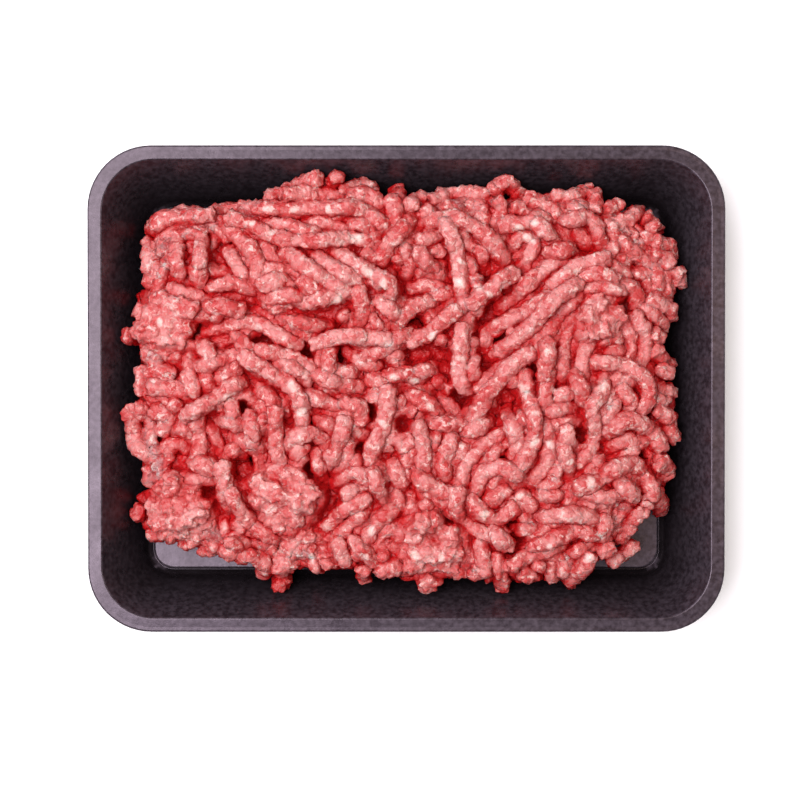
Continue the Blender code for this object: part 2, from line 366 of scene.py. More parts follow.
# Dark holes that reach down between the strands.
DARK_HOLES: tuple[Spot, ...] = (
    (-73, 20, 2.5), (-50, 16, 5.0), (-35, 11.5, 3.0), (-22, 11, 3.0), (-36, 2, 2.5), (-72, 0, 2.5),
    (-57, -7, 2.5), (-90, -10, 3.0), (-89, -18, 3.0), (-56, -26, 3.0), (-68, -35, 2.5), (79, 54, 4.0),
    (76, 28, 3.0), (38, 42, 2.5), (34, 26, 2.5), (32, 18, 2.5), (30, 9, 2.5), (44, 6, 2.5),
    (3, 22.5, 2.5), (19, -3, 4.5), (25, 0.5, 2.5), (-1, -12, 2.5), (-13, -8, 2.5), (-31, -12, 2.5),
    (-15, -21, 2.5), (34, -25, 2.5), (-33, -28, 2.5), (-22, -47, 2.5), (16, -44, 2.5), (37, -46, 2.5),
    (36, -57, 3.0), (38, -52, 2.5), (60, -16, 2.5), (77, -42, 3.0), (52, -57, 2.5), (84, -10, 2.5),
    (81, -24, 2.5),
)

# Whitish bits of fat that stand out.
FAT_BITS: tuple[Spot, ...] = (
    (-48, 62, 2.6), (-38.5, 62, 2.8), (-27, 62, 2.2), (-17, 51.5, 4.5), (-8, 35.5, 3.2), (-13.5, 40, 3.6),
    (-46, 54, 2.4), (-53, 57, 2.2), (-22, 50, 2.2), (-7, 56, 2.0), (-23, 31, 3.0), (-31, 70, 1.6),
    (26.5, 58, 2.0), (21.5, 54, 2.0), (23, 47.5, 1.8), (18.5, 44, 2.2), (18, 36.5, 3.6), (24.5, 35.5, 3.4),
    (28.5, 32, 2.4), (39, 55.5, 2.8), (44, 57, 3.2), (42.5, 52, 3.4), (56, 62, 2.4), (68, 39.5, 2.0),
    (58.5, 40, 3.0), (75, 38.5, 2.6), (9, 18, 3.0), (18.5, 10.5, 2.6), (2.5, 2.5, 3.0), (8, -6, 2.6),
    (-36, -8, 3.6), (-39, 1, 3.0), (-4.5, 4, 2.8), (-8, -12, 2.6), (-16.5, -15.5, 2.2), (-61, -3, 3.0),
    (67, 1, 3.4), (48, 13, 2.4), (44, -8, 2.2), (40.5, 0, 3.4), (49.5, -19, 3.0), (44, -18.5, 2.6),
    (63, -32, 3.6), (55, -35, 2.6), (60, -27, 2.4), (56, -25, 2.2), (-28, -49, 4.6), (-12, -49, 3.0),
    (-63, -47.5, 2.8), (-14, -58, 2.4), (-33, -59, 2.4), (35, -69, 1.6), (27, -43, 3.0), (39, -37, 2.8),
    (49, -54, 2.0), (63, -58.5, 3.0), (54, -63.5, 2.2), (3, -57.5, 3.4), (12, -58, 2.6), (-1, -52, 1.8),
    (-85, 23, 2.4), (-79, 26, 2.2), (-72, 15, 1.8), (-51, 21, 3.0), (-67, 56, 2.4), (-72.5, 41.5, 1.8),
)


# ---------------------------------------------------------------- helpers


def linear(hex_colour: str) -> tuple[float, float, float, float]:
    """Turn an sRGB hex colour into linear light, by the sRGB standard's own curve.

    Args:
        hex_colour: Six hex digits after a hash sign.

    Returns:
        Red, green, blue and an alpha of one.
    """
    shares = [int(hex_colour[i : i + 2], 16) / 255 for i in (1, 3, 5)]
    light = [s / 12.92 if s <= 0.04045 else ((s + 0.055) / 1.055) ** 2.4 for s in shares]
    return (*light, 1.0)


def set_sockets(node: bpy.types.Node, inputs: dict | tuple) -> None:
    """Give a node's sockets their values and links.

    Args:
        node: The node.
        inputs: What each socket takes, by the sockets' names or in their order: a value, another node's
            output socket, or another node, whose first output in use is then meant.
    """
    for socket, value in inputs.items() if isinstance(inputs, dict) else enumerate(inputs):
        if isinstance(value, bpy.types.Node):
            value = next(output for output in value.outputs if output.enabled)
        if isinstance(value, bpy.types.NodeSocket):
            node.id_data.links.new(value, node.inputs[socket])
        else:
            node.inputs[socket].default_value = value


def add_node(
    tree: bpy.types.NodeTree, kind: str, inputs: dict | tuple = (), **settings: object
) -> bpy.types.Node:
    """Add a node with its settings, values and links.

    Args:
        tree: The node tree to add to.
        kind: The node's type name, without the leading "ShaderNode".
        inputs: What its sockets take, as set_sockets says.
        **settings: Properties of the node itself.

    Returns:
        The new node.
    """
    node = tree.nodes.new("ShaderNode" + kind)
    for name, value in settings.items():
        setattr(node, name, value)
    set_sockets(node, inputs)
    return node


def new_material(name: str) -> tuple[bpy.types.Material, bpy.types.NodeTree, bpy.types.Node]:
    """Make a node material.

    Args:
        name: The material's name.

    Returns:
        The material, its node tree and its Principled shader.
    """
    material = bpy.data.materials.new(name)
    material.use_nodes = True
    return material, material.node_tree, material.node_tree.nodes["Principled BSDF"]


def deselect_all() -> None:
    """Leave edit mode and deselect every object."""
    if bpy.context.object and bpy.context.object.mode != "OBJECT":
        bpy.ops.object.mode_set(mode="OBJECT")
    bpy.ops.object.select_all(action="DESELECT")


def make_active(obj: bpy.types.Object) -> None:
    """Select one object alone and make it the active one.

    Args:
        obj: The object.
    """
    deselect_all()
    obj.select_set(True)
    bpy.context.view_layer.objects.active = obj


def add_object(name: str, data: bpy.types.ID) -> bpy.types.Object:
    """Add an object to the scene.

    Args:
        name: Its name.
        data: Its mesh, lamp or camera.

    Returns:
        The object.
    """
    obj = bpy.data.objects.new(name, data)
    bpy.context.scene.collection.objects.link(obj)
    return obj


def apply_modifiers(obj: bpy.types.Object) -> None:
    """Apply every modifier of an object, in order.

    Args:
        obj: The object.
    """
    make_active(obj)
    for modifier in list(obj.modifiers):
        bpy.ops.object.modifier_apply(modifier=modifier.name)


def fuse(obj: bpy.types.Object, voxel: float) -> None:
    """Add a modifier that joins the parts of a piece into one skin.

    Args:
        obj: The piece.
        voxel: Size of the new faces.
    """
    join = obj.modifiers.new("join", "REMESH")
    join.mode = "VOXEL"
    join.voxel_size = voxel


def roughen(obj: bpy.types.Object, reliefs: tuple[Relief, ...]) -> None:
    """Add Displace modifiers that move the surface in and out by patterns.

    Args:
        obj: The piece.
        reliefs: The patterns, in order.
    """
    for pattern, size, depth in reliefs:
        texture = bpy.data.textures.new(f"{obj.name}_{pattern.lower()}", pattern)
        texture.noise_scale = size
        modifier = obj.modifiers.new(texture.name, "DISPLACE")
        modifier.texture = texture
        modifier.texture_coords = "LOCAL"
        modifier.strength = depth
        modifier.mid_level = 0.5


def read_places(mesh: bpy.types.Mesh) -> np.ndarray:
    """Return the places of a mesh's vertices.

    Args:
        mesh: The mesh.

    Returns:
        One row for each vertex.
    """
    places = np.empty(len(mesh.vertices) * 3)
    mesh.vertices.foreach_get("co", places)
    return places.reshape(-1, 3)


def write_attribute(mesh: bpy.types.Mesh, name: str, values: np.ndarray) -> None:
    """Store one number for each vertex, which a finish reads."""
    mesh.attributes.new(name, "FLOAT", "POINT").data.foreach_set("value", values.astype(np.float32))


def distances(line: np.ndarray) -> np.ndarray:
    """Return how far along a line each of its points lies."""
    return np.concatenate(([0.0], np.cumsum(np.linalg.norm(np.diff(line, axis=0), axis=1))))


def sample(line: np.ndarray, places: np.ndarray) -> np.ndarray:
    """Return points of a line.

    Args:
        line: Points of the line, one row each.
        places: Distances along it.

    Returns:
        The points at those distances.
    """
    along = distances(line)
    return np.column_stack([np.interp(places, along, line[:, axis]) for axis in range(line.shape[1])])


def space_evenly(line: np.ndarray, spacing: float) -> np.ndarray:
    """Place points at even distances along a line.

    Args:
        line: Points of the line, one row each.
        spacing: Distance between the points that are returned.

    Returns:
        The evenly spaced points, with both ends kept.
    """
    length = distances(line)[-1]
    return sample(line, np.linspace(0, length, max(2, round(length / spacing) + 1)))


def smooth_path(points: np.ndarray, spacing: float) -> np.ndarray:
    """Run a Catmull-Rom curve through points and space it evenly.

    Args:
        points: The path's own points, one row each.
        spacing: Distance between the points that are returned, in the same units.

    Returns:
        Points along the curve.
    """
    ends = np.vstack((2 * points[0] - points[1], points, 2 * points[-1] - points[-2]))
    dense = []
    for before, start, end, after in zip(ends, ends[1:], ends[2:], ends[3:]):
        for t in np.linspace(0, 1, CURVE_STEPS, endpoint=False):
            straight = start * 2 + (end - before) * t
            bent = (before * 2 - start * 5 + end * 4 - after) * t**2
            turned = (start * 3 - before - end * 3 + after) * t**3
            dense.append((straight + bent + turned) / 2)
    dense.append(points[-1])
    return space_evenly(np.array(dense), spacing)


def relaxed(height: np.ndarray) -> np.ndarray:
    """Return a strand's heights, each drawn halfway to the mean of the two beside it."""
    ends = np.pad(height, 1, mode="edge")
    return (ends[:-2] + 2 * ends[1:-1] + ends[2:]) / 4


# ---------------------------------------------------------------- finishes


@dataclass(frozen=True)
class BlackFoam:
    """Extruded polystyrene foam sheet, vacuum formed, pigmented black.

    It looks almost black with a soft satin sheen. Fine pale specks show where the walls of the cells lie
    just under the skin. A painted shade darkens the sheet towards the foot of the walls and in the channel.
    """

    name: str = "black_foam_sheet"
    body: str = "#272025"
    cell_colour: str = "#443c43"
    painted_foot_shade_colour: str = "#0b0809"  # painted shade, darkest at the foot of the walls and in the channel
    sheen_tint: str = "#f2e0ee"  # the skin mirrors light a little towards lilac
    cell: float = 0.7 * MM  # width of a foam cell, made about twice its real size so that it shows
    cell_relief: float = 0.05 * MM
    cell_bump: float = 0.25
    specks: float = 0.4  # repeats of the speckling for each cell
    speck_edge: Range = (0.35, 0.7)  # values of the noise between which specks set in
    wave: float = 9 * MM  # thick and thin places left by forming
    wave_relief: float = 0.25 * MM
    wave_bump: float = 0.35
    wave_edge: Range = (0.3, 0.7)  # values of the noise between which the gloss changes
    roughness: Range = (0.22, 0.35)
    ior: float = 1.46  # solid polystyrene has 1.59, and its foam less

    def build(self) -> bpy.types.Material:
        """Build the foam: a dark satin skin, speckled by the cells just under it.

        Returns:
            The material, which reads the tray's own attribute of painted shade.
        """
        material, tree, shader = new_material(self.name)
        node = partial(add_node, tree)
        place = node("TexCoord").outputs["Object"]
        cells = node("TexVoronoi", {"Vector": place, "Scale": 1 / self.cell})
        waves = node("TexNoise", {"Vector": place, "Scale": 1 / self.wave, "Detail": 3.0})
        mist = node("TexNoise", {"Vector": place, "Scale": self.specks / self.cell, "Detail": 2.0})
        speck = node("MapRange", (mist, *self.speck_edge))
        colours = {"Factor": speck, "A": linear(self.body), "B": linear(self.cell_colour)}
        foam = node("Mix", colours, data_type="RGBA")
        # painted shade: the sheet turns darker towards the foot of the walls and in the channel
        painted_foot_shade = node("Attribute", attribute_name="painted_foot_shade").outputs["Fac"]
        colours = {"Factor": painted_foot_shade, "A": foam, "B": linear(self.painted_foot_shade_colour)}
        fine = node("Bump", {"Strength": self.cell_bump, "Distance": self.cell_relief, "Height": cells})
        broad = {"Strength": self.wave_bump, "Distance": self.wave_relief, "Height": waves, "Normal": fine}
        skin = {
            "Base Color": node("Mix", colours, data_type="RGBA"),
            "Roughness": node("MapRange", (waves, *self.wave_edge, *self.roughness)),
            "IOR": self.ior,
            "Specular Tint": linear(self.sheen_tint),
            "Normal": node("Bump", broad),
        }
        set_sockets(shader, skin)
        return material


@dataclass(frozen=True)
class RawMince:
    """Raw ground beef: grainy lean meat, moist all over, with fine flecks and whole bits of pale fat.

    It looks soft and a little translucent, so that red light spreads inside it, and its wet granules give
    small highlights. Its gaps, the places under strands and its steep sides take a painted shade of a purer
    red.
    """

    name: str = "raw_mince"
    lean: str = "#b63c3b"  # lean meat in the open
    pale: str = "#cd8b86"  # lean smeared with fat
    painted_gap_shade: str = "#b01417"  # painted shade in gaps, under strands and on steep sides, a purer red
    fat: str = "#ecd3c9"
    grain: float = 1.7 * MM  # width of a ground granule
    warps: float = 0.7  # repeats for each granule, of the noise that bends their rows
    warp_reach: float = 1.5  # how far it bends them, in granules
    fibres: float = 1.6  # repeats for each granule, of the fine torn fibres
    clouds: float = 0.22  # repeats for each granule, of the broad pale clouds
    grain_paleness: Range = (-0.2, 0.52)  # how far granules range from lean to pale
    cloud_edge: Range = (0.3, 0.7)  # values of the noise between which clouds set in
    cloud_paleness: Range = (-0.1, 0.6)
    marbling: float = 2.4 * MM  # spacing of the fine flecks of fat
    fleck_edge: Range = (0.55, 0.68)
    fleck_share: float = 0.65  # how much of the fat's colour a fleck takes
    bit_edge: Range = (1.0, 1.6)
    bit_share: float = 0.85  # the same for a whole bit of fat
    painted_shade_edge: Range = (0.22, 0.8)  # values of the painted shade between which its colour sets in
    grain_relief: float = 0.7 * MM
    grain_bump: float = 0.65
    fibre_relief: float = 0.6 * MM
    fibre_bump: float = 0.7
    roughness: float = 0.36
    ior: float = 1.40  # wet meat
    scatter: float = 0.5
    scatter_reach: Corner = (2.4 * MM, 0.5 * MM, 0.4 * MM)  # of red, green and blue: red goes furthest

    def build(self) -> bpy.types.Material:
        """Build the mince.

        Returns:
            The material, which reads the pieces' own tone, fat and painted shade (depth) attributes.
        """
        material, tree, shader = new_material(self.name)
        node = partial(add_node, tree)
        place = node("TexCoord").outputs["Object"]
        warp = node("TexNoise", {"Vector": place, "Scale": self.warps / self.grain, "Detail": 2.0})
        reach = (self.warp_reach * self.grain,) * 3
        shift = node("VectorMath", (warp.outputs["Color"], reach), operation="MULTIPLY")
        bent = node("VectorMath", (place, shift), operation="ADD")
        grains = node("TexVoronoi", {"Vector": bent, "Scale": 1 / self.grain})
        meat = {
            "Base Color": self.colour(node, place, bent, grains),
            "Roughness": self.roughness,
            "IOR": self.ior,
            "Subsurface Weight": self.scatter,
            "Subsurface Radius": self.scatter_reach,
            "Subsurface Scale": 1.0,
            "Normal": self.relief(node, bent, grains),
        }
        set_sockets(shader, meat)
        return material

    def colour(
        self, node: Callable, place: bpy.types.NodeSocket, bent: bpy.types.Node, grains: bpy.types.Node
    ) -> bpy.types.Node:
        """Add the nodes for the meat's colour: lean and pale by granule, cloud and strand, fat, and painted
        shade.

        Args:
            node: Adds a node to the material's tree.
            place: Object coordinates.
            bent: The same coordinates, warped.
            grains: The granules' pattern.

        Returns:
            The node that gives the colour.
        """
        shade = node("SeparateColor", (grains.outputs["Color"],))
        grainy = node("MapRange", (shade, 0.0, 1.0, *self.grain_paleness))
        clouds = node("TexNoise", {"Vector": place, "Scale": self.clouds / self.grain, "Detail": 4.0})
        cloudy = node("MapRange", (clouds, *self.cloud_edge, *self.cloud_paleness))
        blend = node("Math", (grainy, cloudy), operation="ADD")
        tone = node("Attribute", attribute_name="tone").outputs["Fac"]
        mixed = node("Math", (blend, tone), operation="ADD", use_clamp=True)
        colours = {"Factor": mixed, "A": linear(self.lean), "B": linear(self.pale)}
        meat = node("Mix", colours, data_type="RGBA")
        colours = {"Factor": self.fat_share(node, bent), "A": meat, "B": linear(self.fat)}
        fatty = node("Mix", colours, data_type="RGBA")
        # painted shade: gaps, places under strands and steep sides turn a purer red
        depth = node("Attribute", attribute_name="depth").outputs["Fac"]
        colours = {"Factor": node("MapRange", (depth, *self.painted_shade_edge)), "A": fatty, "B": linear(self.painted_gap_shade)}
        return node("Mix", colours, data_type="RGBA")

    def fat_share(self, node: Callable, bent: bpy.types.Node) -> bpy.types.Node:
        """Add the nodes for the fat: fine flecks all over, and whole bits with ragged edges.

        Args:
            node: Adds a node to the material's tree.
            bent: Object coordinates, warped.

        Returns:
            The node that gives the fat's share of the colour.
        """
        pattern = {"Vector": bent, "Scale": 1 / self.marbling, "Detail": 3.0, "Roughness": 0.65}
        marbling = node("TexNoise", pattern)
        flecks = node("MapRange", (marbling, *self.fleck_edge, 0.0, self.fleck_share))
        bit = node("Attribute", attribute_name="fat").outputs["Fac"]
        ragged = node("Math", (bit, marbling), operation="ADD")
        bits = node("MapRange", (ragged, *self.bit_edge, 0.0, self.bit_share))
        return node("Math", (flecks, bits), operation="MAXIMUM")

    def relief(self, node: Callable, bent: bpy.types.Node, grains: bpy.types.Node) -> bpy.types.Node:
        """Add the nodes for the fine relief of granules and torn fibres.

        Args:
            node: Adds a node to the material's tree.
            bent: Object coordinates, warped.
            grains: The granules' pattern.

        Returns:
            The node that gives the surface normal.
        """
        pattern = {"Vector": bent, "Scale": self.fibres / self.grain, "Detail": 3.0, "Roughness": 0.6}
        fibres = node("TexNoise", pattern)
        coarse = {"Strength": self.grain_bump, "Distance": self.grain_relief, "Height": grains}
        granular = node("Bump", coarse, invert=True)
        fine = {"Strength": self.fibre_bump, "Distance": self.fibre_relief, "Height": fibres}
        return node("Bump", {**fine, "Normal": granular})


@dataclass(frozen=True)
class PalePaper:
    """White background paper, uncoated: it looks matt, even and almost white."""

    name: str = "pale_paper"
    colour: str = "#f2f2f2"
    roughness: float = 0.9
    light: str = "#ffffff"
    glow: float = 0.25  # lit a little from below, as a product table is, which keeps the shadows faint

    def build(self) -> bpy.types.Material:
        """Build the paper.

        Returns:
            The material.
        """
        material, _, shader = new_material(self.name)
        paper = {
            "Base Color": linear(self.colour),
            "Roughness": self.roughness,
            "Emission Color": linear(self.light),
            "Emission Strength": self.glow,
        }
        set_sockets(shader, paper)
        return material


# ---------------------------------------------------------------- tray


@dataclass
class FoamTray:
    """The thermoformed foam tray: rolled lip, leaning walls, drip channel and raised floor panel."""

    low: Corner
    high: Corner
    sheet: float = 3.0 * MM
    lean: float = math.radians(64.5)  # of the walls, from level
    corner: float = 22 * MM
    corner_steps: int = 14
    arc_steps: int = 6
    rim_width: float = 4.9 * MM
    rim_depth: float = 3.4 * MM
    rim_round: float = 0.7 * MM
    bead: float = 0.2 * MM  # the rim rises this little towards its inner edge,
    bead_width: float = 3.2 * MM  # over this width,
    bead_round: float = 3.0 * MM  # and as gently as this radius
    slope_start: Point = (0.72 * MM, 1.5 * MM)  # in from the wall's foot and up, where the channel sets in
    slope_round: float = 2.5 * MM
    channel_round: float = 0.25 * MM
    panel_inset: float = 19.9 * MM
    panel_corner: float = 6.5 * MM
    panel_rise: float = 2.5 * MM
    panel_step: float = 0.8 * MM
    panel_round: float = 0.35 * MM
    panel_edge: float = 2 * MM  # the skin is drawn this far in over the panel, and closed by one face
    lip_round: float = 0.6 * MM  # underneath, where the wall leaves the rim
    foot_round: float = 1.9 * MM
    recess_round: float = 0.5 * MM
    recess_shift: float = 0.6 * MM  # how far the recess under the panel lies inside the panel's own step
    recess_edge: float = 2.5 * MM
    sharp_angle: float = math.radians(35)

    def rounded(self, corners: list[Corner]) -> list[Vector]:
        """Round the corners of a section.

        Args:
            corners: Inset, height and rounding radius of each corner.

        Returns:
            Points of the section, as (inset, height).
        """
        places = [Vector(corner[:2]) for corner in corners]
        section = [places[0]]
        for before, place, after, (_, _, radius) in zip(places, places[1:], places[2:], corners[1:]):
            to_before = (before - place).normalized()
            to_after = (after - place).normalized()
            half = to_before.angle(to_after) / 2
            centre = place + (to_before + to_after).normalized() * (radius / math.sin(half))
            first = place + to_before * (radius / math.tan(half)) - centre
            last = place + to_after * (radius / math.tan(half)) - centre
            sweep = first.angle(last)
            for step in range(self.arc_steps + 1):
                share = step / self.arc_steps
                arm = first * math.sin((1 - share) * sweep) + last * math.sin(share * sweep)
                section.append(centre + arm / math.sin(sweep))
        section.append(places[-1])
        return section

    def inner_section(self) -> list[Vector]:
        """Return the section of the upper skin, from the rim's lower edge to the panel.

        Returns:
            Points of the section, as (inset, height).
        """
        height = self.high[2]
        foot = self.rim_width + (height - self.sheet) / math.tan(self.lean)
        before_foot, above_channel = self.slope_start
        panel_top = self.sheet + self.panel_rise
        return self.rounded(
            [
                (0, height - self.rim_depth, 0),
                (0, height, self.rim_round),
                (self.rim_width - self.bead_width, height, self.bead_round),
                (self.rim_width, height + self.bead, self.rim_round),
                (foot - before_foot, self.sheet + above_channel, self.slope_round),
                (self.panel_inset - self.panel_step, self.sheet, self.channel_round),
                (self.panel_inset, panel_top, self.panel_round),
                (self.panel_inset + self.panel_edge, panel_top, 0),
            ]
        )

    def outer_section(self) -> list[Vector]:
        """Return the section of the lower skin, from the rim's lower edge to the recess underneath.

        Returns:
            Points of the section, as (inset, height).
        """
        height = self.high[2]
        across = self.sheet / math.sin(self.lean)
        top = self.rim_width + self.rim_depth / math.tan(self.lean) - across
        foot = self.rim_width + height / math.tan(self.lean) - across
        step = self.panel_inset - self.panel_step + self.recess_shift
        return self.rounded(
            [
                (0, height - self.rim_depth, 0),
                (top, height - self.rim_depth, self.lip_round),
                (foot, 0, self.foot_round),
                (step, 0, self.recess_round),
                (step + self.panel_step, self.panel_rise, self.recess_round),
                (self.panel_inset + self.recess_edge, self.panel_rise, 0),
            ]
        )

    def sweep(self, section: list[Vector], facing: int) -> None:
        """Inset or extrude the selected face along a section.

        Args:
            section: Points of the section, the first one where the face is now.
            facing: 1 where the face looks up, -1 where it looks down.
        """
        for before, after in zip(section, section[1:]):
            inward = after.x - before.x
            rise = after.y - before.y
            if inward > SAME:
                bpy.ops.mesh.inset(thickness=inward, depth=facing * rise)
            else:
                bpy.ops.mesh.extrude_region_move(TRANSFORM_OT_translate={"value": (0, 0, rise)})

    def build(self) -> bpy.types.Object:
        """Model the tray from one rounded plate.

        Returns:
            The finished tray.
        """
        deselect_all()
        level = self.high[2] - self.rim_depth
        bpy.ops.mesh.primitive_plane_add(size=1, location=(0, 0, level))
        tray = bpy.context.object
        tray.name = "foam_tray"
        tray.scale = (self.high[0] - self.low[0], self.high[1] - self.low[1], 1)
        bpy.ops.object.transform_apply(location=True, rotation=True, scale=True)
        bpy.ops.object.mode_set(mode="EDIT")
        bpy.ops.mesh.select_all(action="SELECT")
        bpy.ops.mesh.bevel(
            offset=self.corner, segments=self.corner_steps, affect="VERTICES", offset_type="OFFSET"
        )
        bpy.ops.mesh.select_mode(type="FACE")
        bpy.ops.mesh.select_all(action="SELECT")
        self.sweep(self.inner_section(), 1)
        bpy.ops.mesh.select_all(action="DESELECT")
        self.select_plate(tray, level)
        self.sweep(self.outer_section(), -1)
        bpy.ops.mesh.select_all(action="SELECT")
        bpy.ops.mesh.normals_make_consistent(inside=False)
        bpy.ops.object.mode_set(mode="OBJECT")
        self.tighten_corners(tray)
        make_active(tray)
        bpy.ops.object.shade_smooth_by_angle(angle=self.sharp_angle)
        tray.modifiers.new("flat_faces", "WEIGHTED_NORMAL").keep_sharp = True
        apply_modifiers(tray)
        return tray

    def select_plate(self, tray: bpy.types.Object, level: float) -> None:
        """Select the underside, which is still at the plate's first height.

        Args:
            tray: The tray, in edit mode.
            level: Height of the plate.
        """
        mesh = bmesh.from_edit_mesh(tray.data)
        for face in mesh.faces:
            if all(abs(vert.co.z - level) < SAME for vert in face.verts):
                face.select_set(True)
        bmesh.update_edit_mesh(tray.data)

    def tighten_corners(self, tray: bpy.types.Object) -> None:
        """Give each level of the tray its own corner radius, from the rim's down to the panel's.

        Args:
            tray: The tray, whose corners all bend round the rim's corner centres until now.
        """
        half = Vector(self.high[:2])
        for vert in tray.data.vertices:
            arm = Vector((abs(vert.co.x), abs(vert.co.y))) - half + Vector((self.corner, self.corner))
            arm = Vector((max(arm.x, 0), max(arm.y, 0)))
            inset = self.corner - arm.length
            share = min(inset / self.panel_inset, 1.0)
            radius = self.corner + (self.panel_corner - self.corner) * share
            moved = half - Vector((inset + radius, inset + radius)) + arm.normalized() * radius
            vert.co.x = math.copysign(moved.x, vert.co.x)
            vert.co.y = math.copysign(moved.y, vert.co.y)

    def off_panel(self, points: np.ndarray) -> np.ndarray:
        """Return how far outside the floor panel points lie in plan.

        Args:
            points: Points, one row each, of which x and y are read.

        Returns:
            One distance for each point, 0 over the panel.
        """
        arm = np.abs(points[:, :2]) - np.array(self.high[:2]) + self.panel_inset
        return np.linalg.norm(np.maximum(arm, 0), axis=1)

    def inside(self, points: np.ndarray, clearance: float) -> np.ndarray:
        """Return the least height at which each point keeps clear of the floor panel and the walls.

        Args:
            points: Points, one row each, of which x and y are read.
            clearance: Distance to keep.

        Returns:
            One height for each point.
        """
        inset = self.panel_inset - self.off_panel(points)
        wall = self.high[2] - (inset - self.rim_width) * math.tan(self.lean)
        panel = self.sheet + self.panel_rise
        return np.maximum(wall + clearance / math.cos(self.lean), panel + clearance)

    def paint_foot_shade(self, tray: bpy.types.Object) -> None:
        """Store a painted shade for each place of the sheet outside the panel: darkest at the foot of the
        walls.

        Args:
            tray: The finished tray.
        """
        points = read_places(tray.data)
        on_wall = self.off_panel(points) > self.panel_step / 2
        # painted shade: none at the rim, growing to full at the channel, and none over the panel
        painted_foot_shade = np.clip((self.high[2] - points[:, 2]) / (self.high[2] - self.sheet), 0, 1) * on_wall
        write_attribute(tray.data, "painted_foot_shade", painted_foot_shade)

    def dress(self, tray: bpy.types.Object, finish: BlackFoam) -> None:
        """Give the tray its painted shade, its finish and its place in the frame.

        Args:
            tray: The finished tray.
            finish: Its finish.
        """
        self.paint_foot_shade(tray)
        tray.data.materials.append(finish.build())
        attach(tray, "root")
        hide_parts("tray")


# ---------------------------------------------------------------- heap of mince


@dataclass
class Strand:
    """One ground strand as it lies: its centre line, its radius and how pale it is."""

    line: np.ndarray
    radius: float
    tone: float

    def length(self) -> float:
        """Return the strand's length."""
        return float(np.linalg.norm(np.diff(self.line, axis=0), axis=1).sum())


